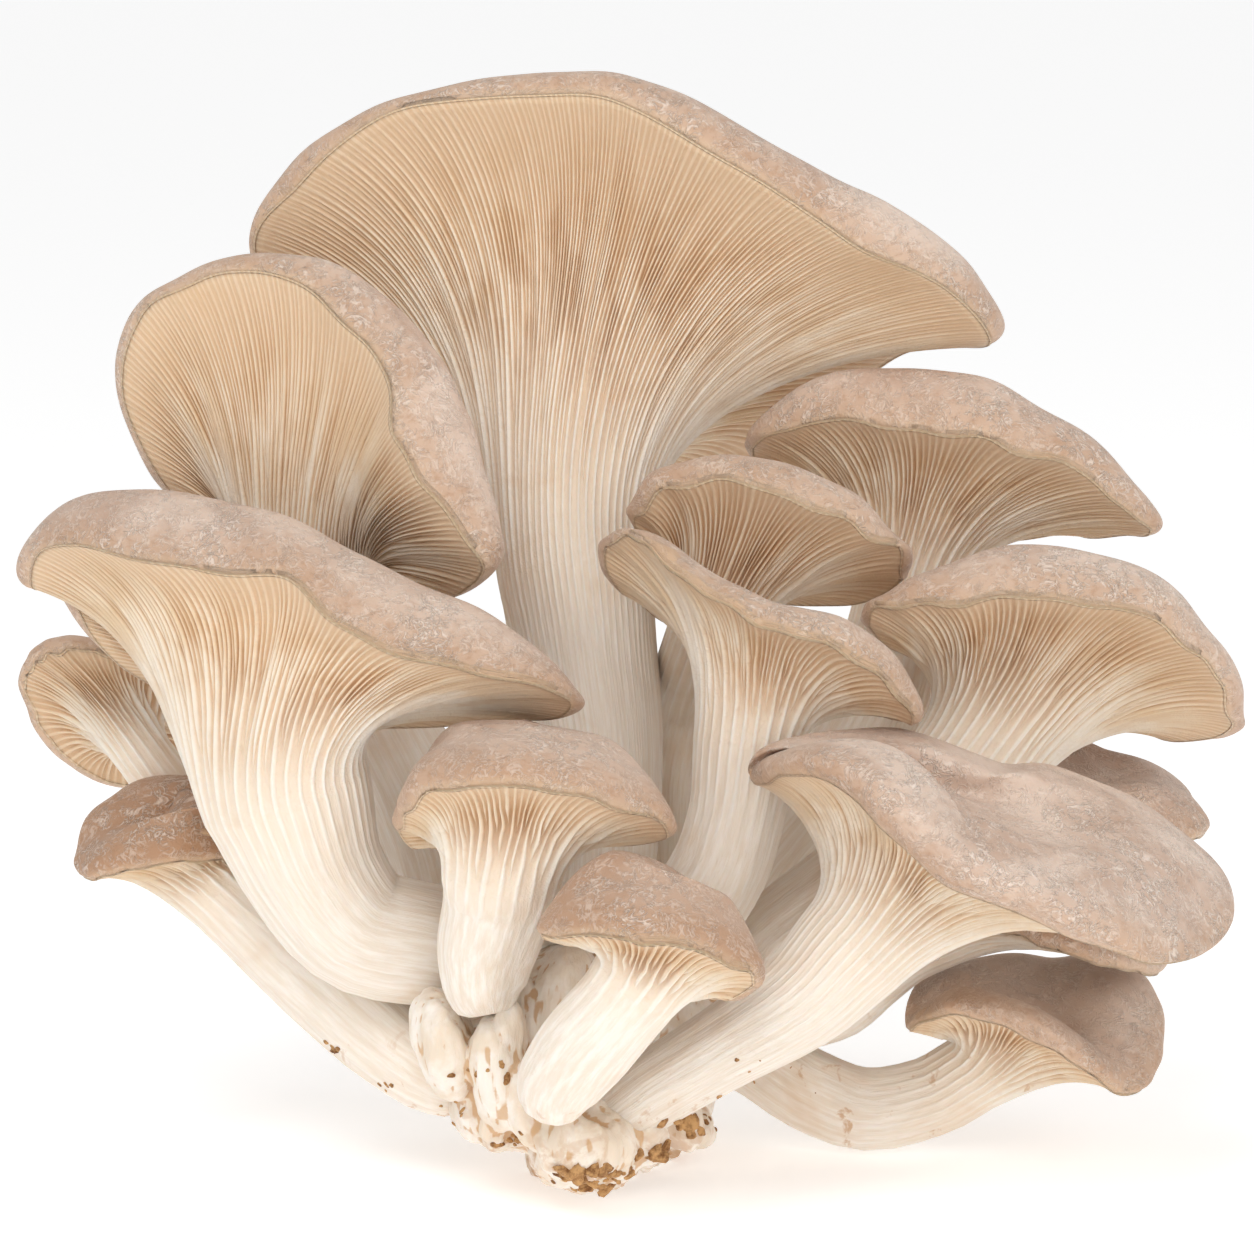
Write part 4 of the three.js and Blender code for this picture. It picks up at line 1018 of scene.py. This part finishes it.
def noise_at(points, size, seed):
    """Smooth random values, about -1 to 1, at points in millimetres."""
    shift = Vector((seed * 7.3, seed * 3.1, seed * 5.7))
    return np.array([noise.noise(Vector(p) / size + shift) for p in points])


def base_object():
    """The base: lobes grown together, knobs and folds on them, cut flat where it stands on the table."""
    shape = bmesh.new()
    for place, radii, lean in BASE_LOBES:
        ellipsoid(shape, place, radii, lean)
    mesh = bpy.data.meshes.new("knobbly_base")
    shape.to_mesh(mesh)
    shape.free()
    obj = placed("knobbly_base", mesh)
    remesh = obj.modifiers.new("join", "REMESH")
    remesh.mode = "VOXEL"
    remesh.voxel_size = BASE_FACE
    soften = obj.modifiers.new("soften", "SMOOTH")
    soften.factor = 0.5
    soften.iterations = 3
    made = bpy.data.meshes.new_from_object(obj.evaluated_get(bpy.context.evaluated_depsgraph_get()))
    obj.modifiers.clear()
    obj.data = made
    made.name = "knobbly_base"

    points = rows_of(made.vertices, "co", 3)
    normals = rows_of(made.vertices, "normal", 3)
    long_way = points * [1, 1, 0.3]
    lumps = 0.8 * noise_at(points, 7, 1)
    relief = lumps + 0.7 * noise_at(long_way, 2.2, 2) + 0.34 * noise_at(long_way, 0.9, 3)
    points = points + normals * relief[:, None]
    points[:, 2] = np.maximum(points[:, 2], 0)
    # The creases found here are coloured as painted shade by the base's material.
    dent = bowl_of(points, normals, rows_of(made.edges, "vertices", 2, int))
    made.vertices.foreach_set("co", in_box(points * MM).ravel())
    attribute = made.attributes.new("ridge", "FLOAT", "POINT")
    attribute.data.foreach_set("value", dent.astype(np.float32))
    made.update()
    made.shade_smooth()
    return obj


def rows_of(items, key, width, kind=float):
    """One property of all of a mesh's points or edges, a row for each."""
    values = np.empty(len(items) * width, kind)
    items.foreach_get(key, values)
    return values.reshape(-1, width)


def bowl_of(points, normals, edges):
    """How far each point stands out from those near it: 0 in a crease, 0.5 where flat, 1 on a knob."""
    count = len(points)
    near = np.bincount(edges.ravel(), minlength=count)[:, None]
    mean = points
    for _ in range(DENT_ROUNDS):
        total = np.zeros_like(points)
        np.add.at(total, edges[:, 0], mean[edges[:, 1]])
        np.add.at(total, edges[:, 1], mean[edges[:, 0]])
        mean = total / np.maximum(near, 1)
    return np.clip(0.5 + DENT_SCALE * ((points - mean) * normals).sum(1), 0, 1)


def eye():
    """Where the viewer's eye is, in millimetres."""
    away = Vector((0, -math.cos(VIEW_TILT), math.sin(VIEW_TILT)))
    return Vector(at([0, EYE_LEVEL, 0])) + away * VIEW_DISTANCE


def seen_surface(objects):
    """A function that gives the point and the normal of what the viewer sees at [across, up]."""
    trees = [BVHTree.FromObject(o, bpy.context.evaluated_depsgraph_get()) for o in objects]

    def seen(sideways, up):
        ray = (Vector(at([sideways, up, 0])) - eye()).normalized()
        hits = [tree.ray_cast(eye() * MM, ray) for tree in trees]
        hits = [hit for hit in hits if hit[0]]
        return min(hits, key=lambda hit: hit[3])[:2] if hits else None

    return seen


def crumbs_object(seen, rng):
    """Crumbs of the bed stuck to the base and to the lowest stems, each one sunk into what it lies on."""
    shape = bmesh.new()
    for sideways, up, spread, size, count in CRUMBS:
        for _ in range(count):
            spot = seen(sideways + rng.normal(0, spread), up + rng.normal(0, spread * 0.4))
            if not spot:
                continue
            place, normal = spot
            radius = size * rng.uniform(0.35, 1)
            stand = normal.to_track_quat("Z", "Y").to_matrix().to_4x4()
            turn = stand @ Matrix.Rotation(rng.uniform(0, 6), 4, "Z")
            sides = [rng.uniform(*span) for span in CRUMB_SIDES]
            form = turn @ Matrix.Diagonal((*sides, 1))
            made = bmesh.ops.create_icosphere(shape, subdivisions=2, radius=radius * MM, matrix=form)
            centre = place - normal * 0.1 * radius * MM
            for vertex in made["verts"]:
                bump = noise.noise(vertex.co / (radius * MM) * 1.7 + Vector((up, count, sideways)))
                vertex.co *= 1 + 0.5 * bump
                vertex.co += centre
                vertex.co = in_box(np.array(vertex.co))
    mesh = bpy.data.meshes.new("bed_crumbs")
    shape.to_mesh(mesh)
    shape.free()
    mesh.shade_smooth()
    return placed("bed_crumbs", mesh)


def dress(obj, material, slot, *nodes):
    """Gives a piece its material, hangs it under the root and hides the CAD nodes that it stands for. The
    slot is not used.
    """
    obj.data.materials.clear()
    obj.data.materials.append(material)
    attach(obj, "root")
    if nodes:
        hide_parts(*nodes)


def floor_object():
    """A plain pale floor that glows a little, so that no horizon shows."""
    side = FLOOR_SIDE
    mesh = bpy.data.meshes.new("pale_floor")
    corners = [(-side, -side, 0), (side, -side, 0), (side, side, 0), (-side, side, 0)]
    mesh.from_pydata(corners, [], [(0, 1, 2, 3)])
    floor = placed("pale_floor", mesh)
    paper = bpy.data.materials.new("pale_paper")
    paper.use_nodes = True
    set_inputs(paper.node_tree.nodes["Principled BSDF"], {
        "Base Color": FLOOR_COLOUR, "Roughness": 0.9,
        "Emission Color": WHITE, "Emission Strength": FLOOR_GLOW,
    })
    mesh.materials.append(paper)


def lamp(name, place, size, power, tint=(1, 1, 1)):
    """A soft square lamp that points at the part."""
    light = bpy.data.lights.new(name, "AREA")
    light.size = size
    light.energy = power
    light.color = tint
    obj = placed(name, light)
    obj.location = place
    obj.rotation_euler = (Vector(LAMPS_AIM) - Vector(place)).to_track_quat("-Z", "Y").to_euler()


def studio():
    """A pale floor, an even white sky, soft lamps and the camera."""
    floor_object()
    bpy.context.scene.view_settings.view_transform = "Standard"
    world = bpy.data.worlds.new("white_sky")
    world.use_nodes = True
    set_inputs(world.node_tree.nodes["Background"], {"Color": WHITE, "Strength": SKY})
    bpy.context.scene.world = world
    for settings in LAMPS:
        lamp(*settings)
    camera = bpy.data.cameras.new("viewer")
    camera.sensor_width = SENSOR
    camera.lens = SENSOR * VIEW_DISTANCE / VIEW_WIDTH
    camera.clip_end = 100
    obj = placed("viewer", camera)
    obj.location = eye() * MM
    obj.rotation_euler = (math.pi / 2 - VIEW_TILT, 0, 0)
    bpy.context.scene.camera = obj


def build():
    """The whole part, piece by piece, and the studio round it."""
    gills, cap, base = gills_material(), cap_material(), base_material()
    flesh = []
    for name, spec in MUSHROOMS.items():
        face = LowerFace(spec, np.random.default_rng(zlib.crc32(name.encode())))
        body = gills_object(name, spec, face)
        dress(body, gills, "stem_and_gills", name + "_stem_gills")
        top = cap_object(name, spec, face, TONES.get(name, 0))
        dress(top, cap, "cap_skin", name + "_cap")
        flesh += [body, top]
    knobs = base_object()
    dress(knobs, base, "base", "base")
    crumbs = crumbs_object(seen_surface([knobs, *flesh]), np.random.default_rng(5))
    dress(crumbs, crumb_material(), "base")
    studio()


build()
